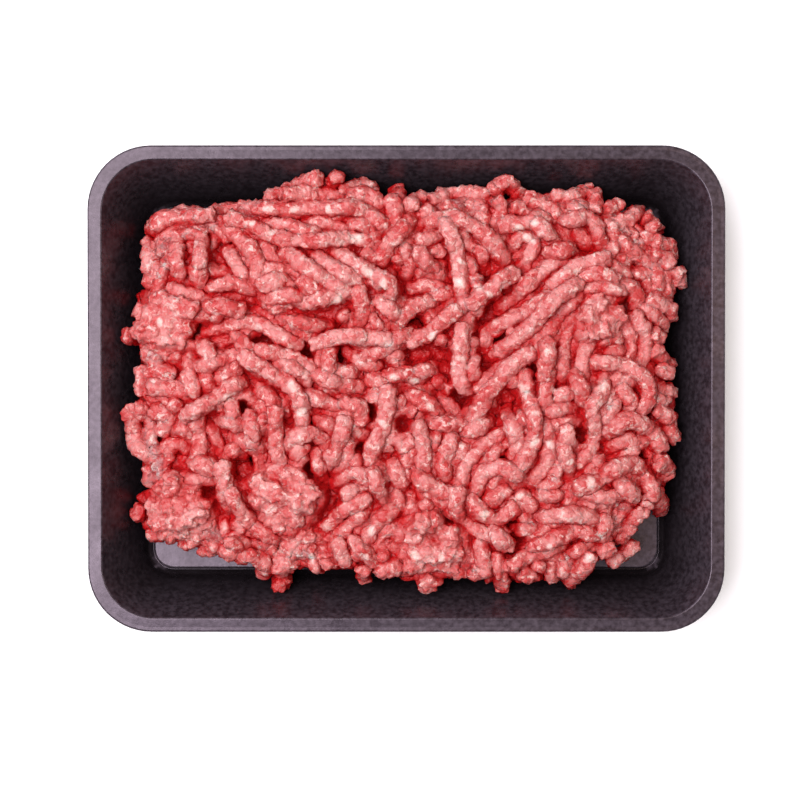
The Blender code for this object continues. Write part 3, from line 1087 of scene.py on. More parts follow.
@dataclass
class HeapSurface:
    """Heights of the heap over a plan grid, raised by each strand that is laid on it."""

    low: Vector
    high: Vector
    cell: float = 0.5 * MM
    margin: float = 8 * MM
    lookout: float = 0.05  # height above the heap from which objects are looked down on
    disc_step: float = 0.1 * MM  # balls whose radii are nearer than this share one disc
    roof: float = 0.8  # share of its radius that a ball's top stands up to under a ceiling
    heights: np.ndarray = field(init=False)

    def __post_init__(self) -> None:
        """Lay out an empty grid."""
        self.x0 = self.low[0] - self.margin
        self.y0 = self.low[1] - self.margin
        columns = round((self.high[0] - self.low[0] + 2 * self.margin) / self.cell)
        rows = round((self.high[1] - self.low[1] + 2 * self.margin) / self.cell)
        self.heights = np.full((columns, rows), self.low[2])
        self.discs: dict[int, tuple[int, np.ndarray]] = {}

    def scan(self, obj: bpy.types.Object) -> np.ndarray:
        """Return an object's height above every cell, and the floor's where there is none.

        Args:
            obj: The object to look down on.

        Returns:
            Heights on the grid.
        """
        tree = BVHTree.FromObject(obj, bpy.context.evaluated_depsgraph_get())
        found = np.full(self.heights.shape, self.low[2])
        down = Vector((0, 0, -1))
        above = self.high[2] + self.lookout
        for column in range(found.shape[0]):
            x = self.x0 + column * self.cell
            for row in range(found.shape[1]):
                hit = tree.ray_cast(Vector((x, self.y0 + row * self.cell, above)), down)[0]
                if hit:
                    found[column, row] = hit.z
        return found

    def disc(self, radius: float) -> tuple[int, np.ndarray]:
        """Return a ball's outline on the grid.

        Args:
            radius: The ball's radius.

        Returns:
            Its half width in cells, and its height over its centre in each cell, -1 outside it.
        """
        key = round(radius / self.disc_step)
        if key not in self.discs:
            reach = int(radius / self.cell)
            steps = np.arange(-reach, reach + 1) * self.cell
            flat = steps[:, None] ** 2 + steps[None, :] ** 2
            cap = np.where(flat < radius**2, np.sqrt(np.maximum(radius**2 - flat, 0)), -1.0)
            self.discs[key] = (reach, cap)
        return self.discs[key]

    def window(self, x: float, y: float, reach: int) -> tuple[slice, slice]:
        """Return the part of the grid round a point, kept clear of the grid's edge.

        Args:
            x: The point's place along the tray.
            y: The point's place across it.
            reach: Half width of the part, in cells.

        Returns:
            The slices of the columns and of the rows.
        """
        column = round((x - self.x0) / self.cell)
        row = round((y - self.y0) / self.cell)
        column = min(max(column, reach), self.heights.shape[0] - reach - 1)
        row = min(max(row, reach), self.heights.shape[1] - reach - 1)
        return slice(column - reach, column + reach + 1), slice(row - reach, row + reach + 1)

    def rest_height(self, x: float, y: float, radius: float) -> float:
        """Return the height at which a ball's centre comes to rest over a point."""
        reach, cap = self.disc(radius)
        return float((self.heights[self.window(x, y, reach)] + cap).max())

    def headroom(self, x: float, y: float, radius: float, ceiling: np.ndarray) -> float:
        """Return how high a ball's centre may come over a point, with its top below a ceiling.

        Args:
            x: The point's place along the tray.
            y: The point's place across it.
            radius: The ball's radius.
            ceiling: Heights on the grid.

        Returns:
            The greatest height.
        """
        reach, cap = self.disc(radius)
        room = ceiling[self.window(x, y, reach)] - cap
        return float(np.where(cap >= self.roof * radius, room, np.inf).min())

    def stamp(self, strand: Strand) -> None:
        """Raise the heights to the top of a strand.

        Args:
            strand: The strand.
        """
        reach, cap = self.disc(strand.radius)
        for x, y, z in strand.line:
            place = self.window(x, y, reach)
            top = np.where(cap >= 0, z + cap, self.low[2])
            self.heights[place] = np.maximum(self.heights[place], top)

    def footprint(self, strand: Strand) -> np.ndarray:
        """Return which cells a strand lies over.

        Args:
            strand: The strand.

        Returns:
            True for the cells under it, on the grid.
        """
        reach, cap = self.disc(strand.radius)
        under = np.zeros(self.heights.shape, dtype=bool)
        for x, y, _ in strand.line:
            under[self.window(x, y, reach)] |= cap >= 0
        return under

    def at(self, points: np.ndarray, grid: np.ndarray) -> np.ndarray:
        """Return a grid's values at points.

        Args:
            points: Points, one row each, of which x and y are read.
            grid: Values on this surface's grid.

        Returns:
            One value for each point.
        """
        columns, rows = (
            np.clip(np.rint((points[:, axis] - start) / self.cell).astype(int), 0, grid.shape[axis] - 1)
            for axis, start in enumerate((self.x0, self.y0))
        )
        return grid[columns, rows]

    def away(self, x: float, y: float) -> np.ndarray:
        """Return every cell's distance from a point.

        Args:
            x: The point's place along the tray.
            y: The point's place across it.

        Returns:
            Distances on the grid.
        """
        columns = np.arange(self.heights.shape[0]) * self.cell + self.x0 - x
        rows = np.arange(self.heights.shape[1]) * self.cell + self.y0 - y
        return np.hypot(columns[:, None], rows[None, :])

    def shifted(self, grid: np.ndarray, reach: float, axis: int) -> list[np.ndarray]:
        """Return copies of a grid, moved by every number of cells up to a reach either way."""
        cells = int(reach / self.cell)
        return [np.roll(grid, shift, axis) for shift in range(-cells, cells + 1)]

    def crown(self, reach: float) -> np.ndarray:
        """Return the heap's general top: the highest strand nearby, evened out.

        Args:
            reach: How far round each cell to look.

        Returns:
            Heights on the grid.
        """
        grid = self.heights
        for axis in (0, 1):
            grid = np.max(self.shifted(grid, reach, axis), axis=0)
        return self.evened(self.evened(grid, reach), reach)

    def evened(self, grid: np.ndarray, reach: float) -> np.ndarray:
        """Return a grid with each cell set to the mean of the cells round it.

        Args:
            grid: The grid.
            reach: How far round each cell to look.

        Returns:
            The evened grid.
        """
        for axis in (0, 1):
            grid = np.mean(self.shifted(grid, reach, axis), axis=0)
        return grid

    def sky(self, reach: float) -> np.ndarray:
        """Return how much of the sky each cell sees past what stands round it.

        A place that is open on one side counts for more than its share, since light comes in there.

        Args:
            reach: How far round each cell to look.

        Returns:
            Shares from 0 to 1 on the grid.
        """
        cells = int(reach / self.cell)
        seen = []
        ways = ((1, 0), (0, 1), (1, 1), (-1, 1), (-1, 0), (0, -1), (-1, -1), (1, -1))
        for along, up in ways:
            steepest = np.zeros(self.heights.shape)
            for step in range(1, cells + 1):
                other = np.roll(self.heights, (-along * step, -up * step), (0, 1))
                run = step * self.cell * math.hypot(along, up)
                steepest = np.maximum(steepest, (other - self.heights) / run)
            seen.append(1 - np.sin(np.arctan(steepest)))
        clearer = np.maximum(seen[:4], seen[4:])
        return (np.mean(seen, axis=0) + np.mean(clearer, axis=0)) / 2


class Laying(Enum):
    """How firmly a strand is pressed onto what lies under it: bending rounds, and depth it may sink."""

    BIT = (2, 1.4 * MM)
    SHOWN = (7, 2.2 * MM)
    MASHED = (6, 3.0 * MM)
    TOPPING = (8, 4.8 * MM)


@dataclass
class MinceHeap:
    """The heap: a core inside, strands round and over it, broken bits between and mashed places."""

    envelope: bpy.types.Object
    tray: FoamTray
    low: Vector
    high: Vector
    seed: int = 11
    step: float = 1.0 * MM  # between the points of a strand's line

    # Thickness, as radii and as shares of them, and paleness, as a middle and a spread.
    strand_radius: float = 2.8 * MM
    shown_thickness: Range = (0.92, 1.12)
    side_thickness: Range = (0.85, 1.08)
    bit_thickness: Range = (0.8, 1.0)
    mashed_radius: float = 3.6 * MM
    mashed_thickness: Range = (0.9, 1.15)
    shown_tone: Spread = (0.05, 0.12)
    hidden_tone: Spread = (0, 0.10)
    mashed_tone: Spread = (0.1, 0.05)

    # The heap's outline and general top.
    outline_height: float = 4 * MM  # the outline runs where the heap stands this high
    outline_reach: float = 6 * MM  # within which a strand's end counts as near the outline
    wholly: float = 0.99  # share above which a place counts as wholly inside the outline
    crown_reach: float = 4 * MM  # how far round each place the general top is taken over
    floor_reach: float = 5 * MM  # the same, where strands lie on a level floor
    evening: float = 1.5 * MM  # how far round each place smaller bumps are evened out

    # The core.
    core_inset: float = 3.5 * MM
    core_voxel: float = 1.25 * MM
    core_flat: float = 4.5 * MM  # what lies lower than this after drawing in is made its flat underside
    bed_depth: float = 3.0 * MM  # how far the core lies below the strands' general top
    under_strand: float = 2.6 * MM  # how far it lies below the top of a strand that lies on it
    hole_depth: float = 12 * MM
    hole_slope: float = 1 * MM  # width that a hole's sloping side adds all round
    hole_fade: float = 1.5  # a hole ends this many half widths, with its slope, from its middle
    lowest_bed: float = 2 * MM  # the core isn't pressed lower than this over its underside

    # How a strand comes to lie.
    wall_gap: float = 0.9 * MM  # kept between a strand and the tray, as roughening makes it a little thicker
    keel: float = 0.5  # share of a strand's width that rests on others, as soft meat yields at its sides
    steepest: float = 0.9  # drop of a hanging strand for each unit along it
    flow_reach: float = 8 * MM  # how far a strand's direction is taken over by others
    first_bend: float = 0.04  # spread of the bend that a strand starts with, in radians for each step,
    bend_change: float = 0.025  # and of how much it changes at each step
    bend_kept: float = 0.9  # share of a bend that goes on into the next step

    # The strands that show.
    tuck: float = 3.0 * MM  # hidden length that a strand runs on under its neighbours
    tuck_depth: float = 3.5 * MM
    lowest_line: float = 1 * MM  # a tucked end goes no lower than this above the heap's underside
    relief: float = 0.6  # share of the strands' ups and downs that is left by pressing
    mashed_spacing: float = 5.0 * MM  # between the runs that make a mashed patch
    mashed_scatter: float = 0.9 * MM
    mashed_taper: float = 0.8  # how much shorter a patch's outer runs are

    # The strands of the sides.
    side_count: int = 360
    side_tries: int = 8
    side_outset: float = 0.3  # from the middle, from where places on the side are looked for
    side_heights: Range = (8 * MM, 29 * MM)
    side_turn: float = 0.9  # spread of their slant, in radians
    side_inset: Range = (-0.3 * MM, 2.2 * MM)
    side_half: Range = (2 * MM, 9 * MM)  # half of a strand's length
    side_floor: float = 2.6 * MM
    side_top: float = 6.5 * MM  # how far they stay below the heap's general top

    # The broken bits that fill the gaps.
    most_bits: int = 420
    bit_lengths: Range = (9 * MM, 26 * MM)
    bit_tries: int = 6
    bit_share: Range = (0.25, 0.75)  # share of a bit that lies behind the place it runs through
    bit_turn: float = 0.6  # spread of how far a bit lies across its neighbours, in radians
    bit_dive: float = 2.5 * MM  # how far the ends dip under their neighbours,
    bit_ends: float = 3 * MM  # over this length
    least_room: float = 1.0 * MM  # room that is too little for another bit
    room_limits: Range = (-2 * MM, 8 * MM)
    no_room: float = -20 * MM  # stands for the room outside the heap
    nearly: float = 0.8  # share of the deepest room that makes a place one of the lowest
    below_shown: float = 0.3 * MM  # kept between the bits and the top of the strands that show
    below_crown: float = 1.6 * MM

    reported_height: float = 15 * MM  # only places higher than this count in the report
    surface: HeapSurface = field(init=False)
    bits: list[Strand] = field(default_factory=list)
    sides: list[Strand] = field(default_factory=list)
    shown: list[Strand] = field(default_factory=list)
    mashed: list[Strand] = field(default_factory=list)

    def __post_init__(self) -> None:
        """Start the surface, the random draws and the directions that the strands follow."""
        self.surface = HeapSurface(self.low, self.high)
        self.draw = np.random.default_rng(self.seed)
        places, turns = [], []
        for path in SHOWN_STRANDS:
            line = smooth_path(np.array(path) * MM, 3 * self.step)
            heading = np.diff(line, axis=0)
            angle = np.arctan2(heading[:, 1], heading[:, 0])
            places.append((line[1:] + line[:-1]) / 2)
            turns.append(np.column_stack((np.cos(2 * angle), np.sin(2 * angle))))
        self.flow_places = np.vstack(places)
        self.flow_turns = np.vstack(turns)

    def flow(self, x: float, y: float) -> float:
        """Return the way that the strands near a point run.

        Args:
            x: The point's place along the tray.
            y: The point's place across it.

        Returns:
            An angle in radians.
        """
        near = np.exp(-((self.flow_places - (x, y)) ** 2).sum(axis=1) / (2 * self.flow_reach**2))
        turn = (self.flow_turns * near[:, None]).sum(axis=0)
        return math.atan2(turn[1], turn[0]) / 2

    def build_core(self, finish: bpy.types.Material) -> bpy.types.Object:
        """Model the core: the heap's envelope pulled in on all sides.

        Args:
            finish: The core's material.

        Returns:
            The core, still to be pressed down under the strands.
        """
        deselect_all()
        core = add_object("mince_core", self.envelope.data.copy())
        core.data.materials.clear()
        core.data.materials.append(finish)
        make_active(core)
        bpy.ops.object.mode_set(mode="EDIT")
        bpy.ops.mesh.select_all(action="SELECT")
        bpy.ops.mesh.remove_doubles(threshold=0.01 * MM)
        bpy.ops.mesh.normals_make_consistent(inside=False)
        bpy.ops.transform.shrink_fatten(value=-self.core_inset)
        bpy.ops.object.mode_set(mode="OBJECT")
        for vert in core.data.vertices:
            if vert.co.z < self.low[2] + self.core_flat:
                vert.co.z = self.low[2]
        fuse(core, self.core_voxel)
        apply_modifiers(core)
        return core

    def press_core(self, core: bpy.types.Object, bed: np.ndarray) -> None:
        """Press the core down to the bed that the strands lie in, open its dark holes and roughen it.

        Args:
            core: The core.
            bed: Heights that the core may reach, on the grid.
        """
        points = read_places(core.data)
        top = self.surface.at(points, bed)
        for x, y, width in DARK_HOLES:
            away = np.hypot(points[:, 0] - x * MM, points[:, 1] - y * MM)
            reach = width * MM / 2 + self.hole_slope
            top -= self.hole_depth * np.clip(self.hole_fade - away / reach, 0, 1)
        floor = self.low[2] + self.lowest_bed
        pressed = np.minimum(points[:, 2], np.maximum(top, floor))
        points[:, 2] = np.where(points[:, 2] > floor, pressed, points[:, 2])
        core.data.vertices.foreach_set("co", points.ravel())
        core.data.update()
        roughen(core, CORE_GRAINS)
        apply_modifiers(core)
        for vert in core.data.vertices:
            vert.co.z = max(vert.co.z, self.low[2])

    def lay(self, surface: HeapSurface, plan: np.ndarray, radius: float, how: Laying) -> np.ndarray:
        """Lower a strand onto a surface.

        Args:
            surface: The surface.
            plan: Points of the strand in plan, evenly spaced.
            radius: The strand's radius.
            how: How firmly it is pressed on.

        Returns:
            The strand's centre line.
        """
        rounds, sink = how.value
        probe = self.keel * radius
        support = np.array([surface.rest_height(x, y, probe) + radius - probe for x, y in plan])
        height = support.copy()
        for _ in range(rounds):
            height = np.maximum(relaxed(height), support - sink)
        drop = self.steepest * self.step
        for order in (range(1, len(height)), range(len(height) - 2, -1, -1)):
            for i in order:
                height[i] = max(height[i], height[i - order.step] - drop)
        return np.column_stack((plan, relaxed(height)))

    def clear(self, strand: Strand) -> None:
        """Lift a strand where it would cut into the tray."""
        lowest = self.tray.inside(strand.line, strand.radius + self.wall_gap)
        strand.line[:, 2] = np.maximum(strand.line[:, 2], lowest)

    def wander(self, start: Point, heading: float, length: float) -> list[Point]:
        """Return a strand's gently bending path in plan.

        Args:
            start: Where it starts.
            heading: The way it sets out, in radians.
            length: Its length.

        Returns:
            Points in plan, one step apart.
        """
        x, y = start
        bend = self.draw.normal(0, self.first_bend)
        points = [start]
        for _ in range(int(length / self.step)):
            bend = self.bend_kept * bend + self.draw.normal(0, self.bend_change)
            heading += bend
            x += self.step * math.cos(heading)
            y += self.step * math.sin(heading)
            points.append((x, y))
        return points

    def through(self, place: Point, length: float) -> np.ndarray:
        """Return a path that runs through a place, roughly the way its neighbours run.

        Args:
            place: The place in plan.
            length: The path's length.

        Returns:
            Points in plan, one step apart.
        """
        heading = self.flow(*place) + self.draw.normal(0, self.bit_turn)
        share = self.draw.uniform(*self.bit_share)
        back = self.wander(place, heading + math.pi, share * length)
        ahead = self.wander(place, heading, (1 - share) * length)
        return np.array(back[:0:-1] + ahead)

    def fill(self, target: np.ndarray, ceiling: np.ndarray) -> None:
        """Lay broken bits in the lowest places until the heap is near its target.

        Args:
            target: Heights that the filling should reach, on the grid.
            ceiling: Heights that no part of a bit may rise above, on the grid.
        """
        surface = self.surface
        outside = target <= self.low[2]
        while len(self.bits) < self.most_bits:
            room = surface.evened(np.clip(target - surface.heights, *self.room_limits), self.evening)
            room[outside] = self.no_room
            deepest = room.max()
            if deepest < self.least_room:
                break
            column, row = self.draw.choice(np.argwhere(room > self.nearly * deepest))
            place = (surface.x0 + column * surface.cell, surface.y0 + row * surface.cell)
            paths = [
                self.through(place, self.draw.uniform(*self.bit_lengths)) for _ in range(self.bit_tries)
            ]
            plan = max(paths, key=lambda path: surface.at(path, room).mean())
            radius = self.strand_radius * self.draw.uniform(*self.bit_thickness)
            line = self.lay(surface, plan, radius, Laying.BIT)
            ends = np.minimum(np.arange(len(line)), np.arange(len(line))[::-1]) * self.step
            line[:, 2] -= self.bit_dive * np.clip(1 - ends / self.bit_ends, 0, 1) ** 2
            highest = [surface.headroom(x, y, radius, ceiling) for x, y in plan]
            line[:, 2] = np.minimum(line[:, 2], np.minimum(highest, surface.at(line, target) - radius))
            bit = Strand(space_evenly(line, self.step), radius, self.draw.normal(*self.hidden_tone))
            self.clear(bit)
            surface.stamp(bit)
            self.bits.append(bit)
            covered = surface.footprint(bit)
            target = np.where(covered, np.minimum(target, surface.heights), target)

    def wall(self, ceiling: np.ndarray) -> None:
        """Cover the heap's side with short strands that lie along it every way.

        Args:
            ceiling: Heights that nothing may rise above, on the grid.
        """
        tree = BVHTree.FromObject(self.envelope, bpy.context.evaluated_depsgraph_get())
        taken = np.empty((0, 3))
        for _ in range(self.side_count):
            place, normal = self.free_side(tree, taken)
            side = normal.cross(Vector((0, 0, 1))).normalized()
            rise = side.cross(normal)
            turn = self.draw.normal(0, self.side_turn)
            heading = side * math.cos(turn) + rise * math.sin(turn)
            inset = self.strand_radius + self.draw.uniform(*self.side_inset)
            half = self.draw.uniform(*self.side_half)
            points = []
            for along in np.arange(-half, half + self.step, self.step):
                near, face, _, _ = tree.find_nearest(place + heading * along)
                points.append(near - face * inset)
            line = np.array(points)
            highest = self.surface.at(line, ceiling) - self.strand_radius
            line[:, 2] = np.maximum(np.minimum(line[:, 2], highest), self.low[2] + self.side_floor)
            strand = Strand(
                space_evenly(line, self.step),
                self.strand_radius * self.draw.uniform(*self.side_thickness),
                self.draw.normal(*self.hidden_tone),
            )
            self.clear(strand)
            taken = np.vstack((taken, strand.line))
            self.surface.stamp(strand)
            self.sides.append(strand)

    def free_side(self, tree: BVHTree, taken: np.ndarray) -> tuple[Vector, Vector]:
        """Try some places on the heap's side and choose the one that is furthest from any strand.

        Args:
            tree: The heap's envelope.
            taken: Points of the strands that lie there already, one row each.

        Returns:
            The place, and the way that the side faces there.
        """
        choices = []
        for _ in range(self.side_tries):
            way = Vector((1, 0, 0))
            way.rotate(Euler((0, 0, self.draw.uniform(0, math.tau))))
            height = self.draw.uniform(*self.side_heights)
            hit, normal = tree.ray_cast(way * self.side_outset + Vector((0, 0, height)), -way)[:2]
            gap = np.linalg.norm(taken - np.array(hit), axis=1).min() if len(taken) else 1.0
            choices.append((gap, hit, normal))
        return max(choices, key=lambda choice: choice[0])[1:]

    def mash(self, floor: HeapSurface, patches: tuple[Patch, ...], how: Laying) -> None:
        """Lay mashed patches, each as short thick runs side by side that are joined later.

        Args:
            floor: The surface to lay them on.
            patches: The patches.
            how: How firmly they are pressed on.
        """
        for x, y, length, width, turn in patches:
            ahead = np.array((math.cos(math.radians(turn)), math.sin(math.radians(turn))))
            aside = np.array((-ahead[1], ahead[0]))
            reach = width * MM / 2 - self.mashed_radius / 2
            longest = length * MM / 2 - self.mashed_radius / 2
            middle = np.array((x, y)) * MM
            for offset in np.arange(-reach, reach + 0.1 * MM, self.mashed_spacing):
                half = longest * math.sqrt(1 - self.mashed_taper * (offset / reach) ** 2)
                knots = np.array([-half, 0.0, half])[:, None] * ahead + offset * aside + middle
                knots += self.draw.normal(0, self.mashed_scatter, knots.shape)
                radius = self.mashed_radius * self.draw.uniform(*self.mashed_thickness)
                line = self.lay(floor, smooth_path(knots, self.step), radius, how)
                self.mashed.append(Strand(line, radius, self.draw.normal(*self.mashed_tone)))
                floor.stamp(self.mashed[-1])

    def tucked(self, plan: np.ndarray, within: np.ndarray) -> tuple[np.ndarray, np.ndarray]:
        """Run a strand's ends on under its neighbours, apart from ends at the heap's outline.

        Args:
            plan: Points of the strand in plan.
            within: Share of each cell's surroundings that lies inside the heap, on the grid.

        Returns:
            The longer path, and how far each of its points is pushed down.
        """
        hidden = []
        for end, inner in ((plan[0], plan[1]), (plan[-1], plan[-2])):
            way = (end - inner) / max(np.linalg.norm(end - inner), TINY)
            tucks = self.surface.at(end[None], within)[0] > self.wholly
            steps = np.arange(self.step, self.tuck + 0.5 * self.step, self.step) if tucks else np.empty(0)
            hidden.append(end + steps[:, None] * way)
        longer = np.vstack((hidden[0][::-1], plan, hidden[1]))
        along = np.arange(len(longer)) * self.step
        down = np.zeros(len(longer))
        for extra, away in zip(hidden, (along, along[::-1])):
            if len(extra):
                down = np.maximum(down, self.tuck_depth * np.clip(1 - away / (2 * self.tuck), 0, 1) ** 1.5)
        return longer, down

    def rehearse(self, within: np.ndarray) -> np.ndarray:
        """Lay the mashed patches and the strands that show on a level floor.

        Args:
            within: Share of each cell's surroundings that lies inside the heap, on the grid.

        Returns:
            The general height of what was laid, on the grid.
        """
        floor = HeapSurface(self.low, self.high)
        dives = []
        self.mash(floor, BURIED_PATCHES, Laying.MASHED)
        for path in SHOWN_STRANDS:
            radius = self.strand_radius * self.draw.uniform(*self.shown_thickness)
            plan, down = self.tucked(smooth_path(np.array(path) * MM, self.step), within)
            line = self.lay(floor, plan, radius, Laying.SHOWN)
            self.shown.append(Strand(line, radius, self.draw.normal(*self.shown_tone)))
            floor.stamp(self.shown[-1])
            dives.append(down)
        self.mash(floor, TOP_PATCHES, Laying.TOPPING)
        top = floor.crown(self.floor_reach)
        for strand in (*self.mashed, *self.shown):
            gap = np.maximum(floor.at(strand.line, top) - strand.radius - strand.line[:, 2], 0)
            strand.line[:, 2] += (1 - self.relief) * gap
        for strand, down in zip(self.shown, dives):
            strand.line[:, 2] = np.maximum(strand.line[:, 2] - down, self.low[2] + self.lowest_line)
        return top - self.low[2]

    def lower_shown(self, base: np.ndarray) -> None:
        """Set the strands that show, with the mashed patches, onto the heap.

        Args:
            base: Heights that they rest on, on the grid.
        """
        for strand in (*self.mashed, *self.shown):
            strand.line[:, 2] += self.surface.at(strand.line, base) - self.low[2]
            strand.line = space_evenly(strand.line, self.step)
            self.clear(strand)
            self.surface.stamp(strand)

    def heap_up(self, core: bpy.types.Object) -> None:
        """Place every strand of the heap, and press the core down under them.

        Args:
            core: The core.
        """
        surface = self.surface
        envelope = surface.scan(self.envelope)
        covered = (envelope > self.low[2] + self.outline_height).astype(float)
        thickness = self.rehearse(surface.evened(covered, self.outline_reach))
        surface.heights = envelope
        general = surface.crown(self.crown_reach)
        inside = surface.evened(covered, self.strand_radius) > self.wholly
        self.wall(general - self.side_top)
        surface.heights = np.full(envelope.shape, self.low[2])
        self.lower_shown(general - thickness)
        laid = surface.heights > self.low[2]
        crown = surface.crown(self.crown_reach)
        under_strands = np.minimum(surface.heights, crown) - self.under_strand
        bed = np.where(laid, under_strands, crown - self.bed_depth)
        self.press_core(core, surface.evened(bed, self.evening))
        surface.heights = np.maximum(surface.heights, surface.scan(core))
        for strand in self.sides:
            surface.stamp(strand)
        ceiling = np.where(laid, surface.heights - self.below_shown, np.inf)
        target = np.where(inside, surface.crown(self.crown_reach) - self.below_crown, self.low[2])
        target = np.where(laid, np.minimum(target, surface.heights), target)
        for x, y, width in DARK_HOLES:
            near = surface.away(x * MM, y * MM) < (width / 2 + self.strand_radius / MM) * MM
            target = np.where(near, np.minimum(target, surface.heights), target)
        self.fill(target, ceiling)
        self.report(envelope)

    def report(self, envelope: np.ndarray) -> None:
        """Log how the heap's top compares with the envelope, and how much strand there is.

        Args:
            envelope: Heights of the CAD heap, on the grid.
        """
        inside = envelope > self.low[2] + self.reported_height
        over = (self.surface.heights - envelope)[inside] / MM
        LOG.info("top over envelope, mm: %s", np.percentile(over, (1, 5, 25, 50, 75, 95, 99)).round(1))
        for name in ("sides", "mashed", "shown", "bits"):
            strands = getattr(self, name)
            total = sum(strand.length() for strand in strands)
            LOG.info("%s: %d, %.0f mm long in all", name, len(strands), total / MM)


class StrandPiece(Enum):
    """Pieces made of strands: name, faces round a strand, distance between rings, and what roughens it."""

    LONG = ("long_strands", 20, 0.8 * MM, STRAND_GRAINS)
    SHORT = ("short_strands", 20, 0.8 * MM, TORN + STRAND_GRAINS)
    SIDES = ("side_strands", 14, 1.2 * MM, TORN + STRAND_GRAINS)
    BITS = ("broken_bits", 16, 0.9 * MM, TORN + STRAND_GRAINS)
    MASHED = ("mashed_mince", 18, 1.0 * MM, MASHED_GRAINS + TORN + STRAND_GRAINS)


@dataclass
class StrandMesher:
    """Turns strands into closed meshes, with the attributes that the finish reads.

    Every strand bends its own way over the others, so its rings are worked out one by one.
    """

    surface: HeapSurface
    draw: np.random.Generator
    cap_turns: tuple[float, ...] = (20, 42, 66)  # degrees from the tip of a round end
    bluntness: Range = (0.4, 0.75)  # length of a round end, as a share of the radius
    swells: tuple[tuple[float, float], ...] = ((0.06, 3.1 * MM), (0.05, 1.7 * MM))  # share, and length
    breadth: float = 1.04  # a strand lies a little flattened: its width,
    height: float = 0.94  # and its height, as shares of its diameter
    mashed_voxel: float = 0.8 * MM
    flank_painted_shade: float = 0.33  # how much painted shade a steep side takes
    sky_reach: float = 7 * MM
    crown_reach: float = 5 * MM
    shut_share: float = 0.95  # what a place whose sky is hidden adds to its painted shade,
    under_share: float = 0.5  # what one under a strand adds,
    sunk_share: float = 0.7  # and what one low in the heap adds
    under_depth: float = 3.5 * MM  # a point this far below the top of a strand is wholly under it
    sunk_start: float = 4 * MM  # below the heap's general top,
    sunk_depth: float = 9 * MM  # a place counts as sunk, more so down to this much further
    fat_depth: float = 2.2 * MM  # bits of fat show no further than this under the top
    fat_length: Range = (1.1, 1.8)  # how much longer than wide a bit of fat is
    fat_fade: float = 1.6  # half widths from its middle at which it has faded out

    def __post_init__(self) -> None:
        """Work out which places lie open and which lie low, for the painted shade."""
        self.open_sky = self.surface.sky(self.sky_reach)
        self.crown = self.surface.crown(self.crown_reach)

    def tube(self, strand: Strand, sides: int, spacing: float) -> tuple[np.ndarray, list]:
        """Return one strand as a tube with round ends.

        Args:
            strand: The strand.
            sides: Faces round it.
            spacing: Distance between its rings.

        Returns:
            Its vertices, and its faces as tuples of vertex numbers.
        """
        places, sizes = self.rings(strand, spacing)
        centre = sample(strand.line, places)
        ahead = np.gradient(centre, axis=0)
        ahead /= np.maximum(np.linalg.norm(ahead, axis=1), TINY)[:, None]
        across = np.cross((0.0, 0.0, 1.0), ahead)
        across /= np.maximum(np.linalg.norm(across, axis=1), TINY)[:, None]
        up = np.cross(ahead, across)
        phase = self.draw.uniform(0, math.tau, 3)
        swell = 1
        for (share, length), start in zip(self.swells, phase):
            swell = swell + share * np.sin(places / length + start)
        ring = strand.radius * sizes * swell
        angles = phase[2] + np.arange(sides) * math.tau / sides
        verts = (
            centre[:, None, :]
            + across[:, None, :] * (ring[:, None] * np.cos(angles) * self.breadth)[:, :, None]
            + up[:, None, :] * (ring[:, None] * np.sin(angles) * self.height)[:, :, None]
        ).reshape(-1, 3)
        return np.vstack((verts, strand.line[0], strand.line[-1])), self.skin(len(places), sides)

    def rings(self, strand: Strand, spacing: float) -> tuple[np.ndarray, np.ndarray]:
        """Return where a strand's rings lie along it, and how wide they are.

        Args:
            strand: The strand.
            spacing: Distance between the rings.

        Returns:
            Distances along the strand, and widths as shares of its own.
        """
        length = distances(strand.line)[-1]
        blunt = [self.draw.uniform(*self.bluntness) * min(strand.radius, length / 2) for _ in range(2)]
        turns = [math.radians(turn) for turn in self.cap_turns]
        widths = [math.sin(turn) for turn in turns]
        body = max(2, round((length - blunt[0] - blunt[1]) / spacing) + 1)
        places = [blunt[0] * (1 - math.cos(turn)) for turn in turns]
        places += list(np.linspace(blunt[0], length - blunt[1], body))
        places += [length - blunt[1] * (1 - math.cos(turn)) for turn in reversed(turns)]
        return np.array(places), np.array([*widths, *[1.0] * body, *reversed(widths)])

    def skin(self, rings: int, sides: int) -> list[tuple[int, ...]]:
        """Return a tube's faces.

        Args:
            rings: Number of its rings.
            sides: Number of vertices in each ring.

        Returns:
            Faces as tuples of vertex numbers. The two tips come after the rings' vertices.
        """
        faces = []
        tip, tail = rings * sides, rings * sides + 1
        last = (rings - 1) * sides
        for base in range(0, last, sides):
            for j in range(sides):
                k = (j + 1) % sides
                faces.append((base + j, base + k, base + sides + k, base + sides + j))
        for j in range(sides):
            k = (j + 1) % sides
            faces.append((tip, k, j))
            faces.append((tail, last + j, last + k))
        return faces

    def build(
        self, kind: StrandPiece, strands: list[Strand], finish: bpy.types.Material
    ) -> bpy.types.Object:
        """Join strands into one piece, roughen it and dress it.

        Args:
            kind: Which piece it is.
            strands: The strands.
            finish: The piece's material.

        Returns:
            The finished piece.
        """
        name, sides, spacing, reliefs = kind.value
        all_verts, all_faces = [], []
        count = 0
        for strand in strands:
            verts, faces = self.tube(strand, sides, spacing)
            all_faces += [tuple(count + index for index in face) for face in faces]
            all_verts.append(verts)
            count += len(verts)
        mesh = bpy.data.meshes.new(name)
        mesh.from_pydata(np.vstack(all_verts).tolist(), [], all_faces)
        mesh.materials.append(finish)
        piece = add_object(name, mesh)
        if kind is StrandPiece.MASHED:
            fuse(piece, self.mashed_voxel)
        roughen(piece, reliefs)
        apply_modifiers(piece)
        self.dress(piece, strands)
        return piece

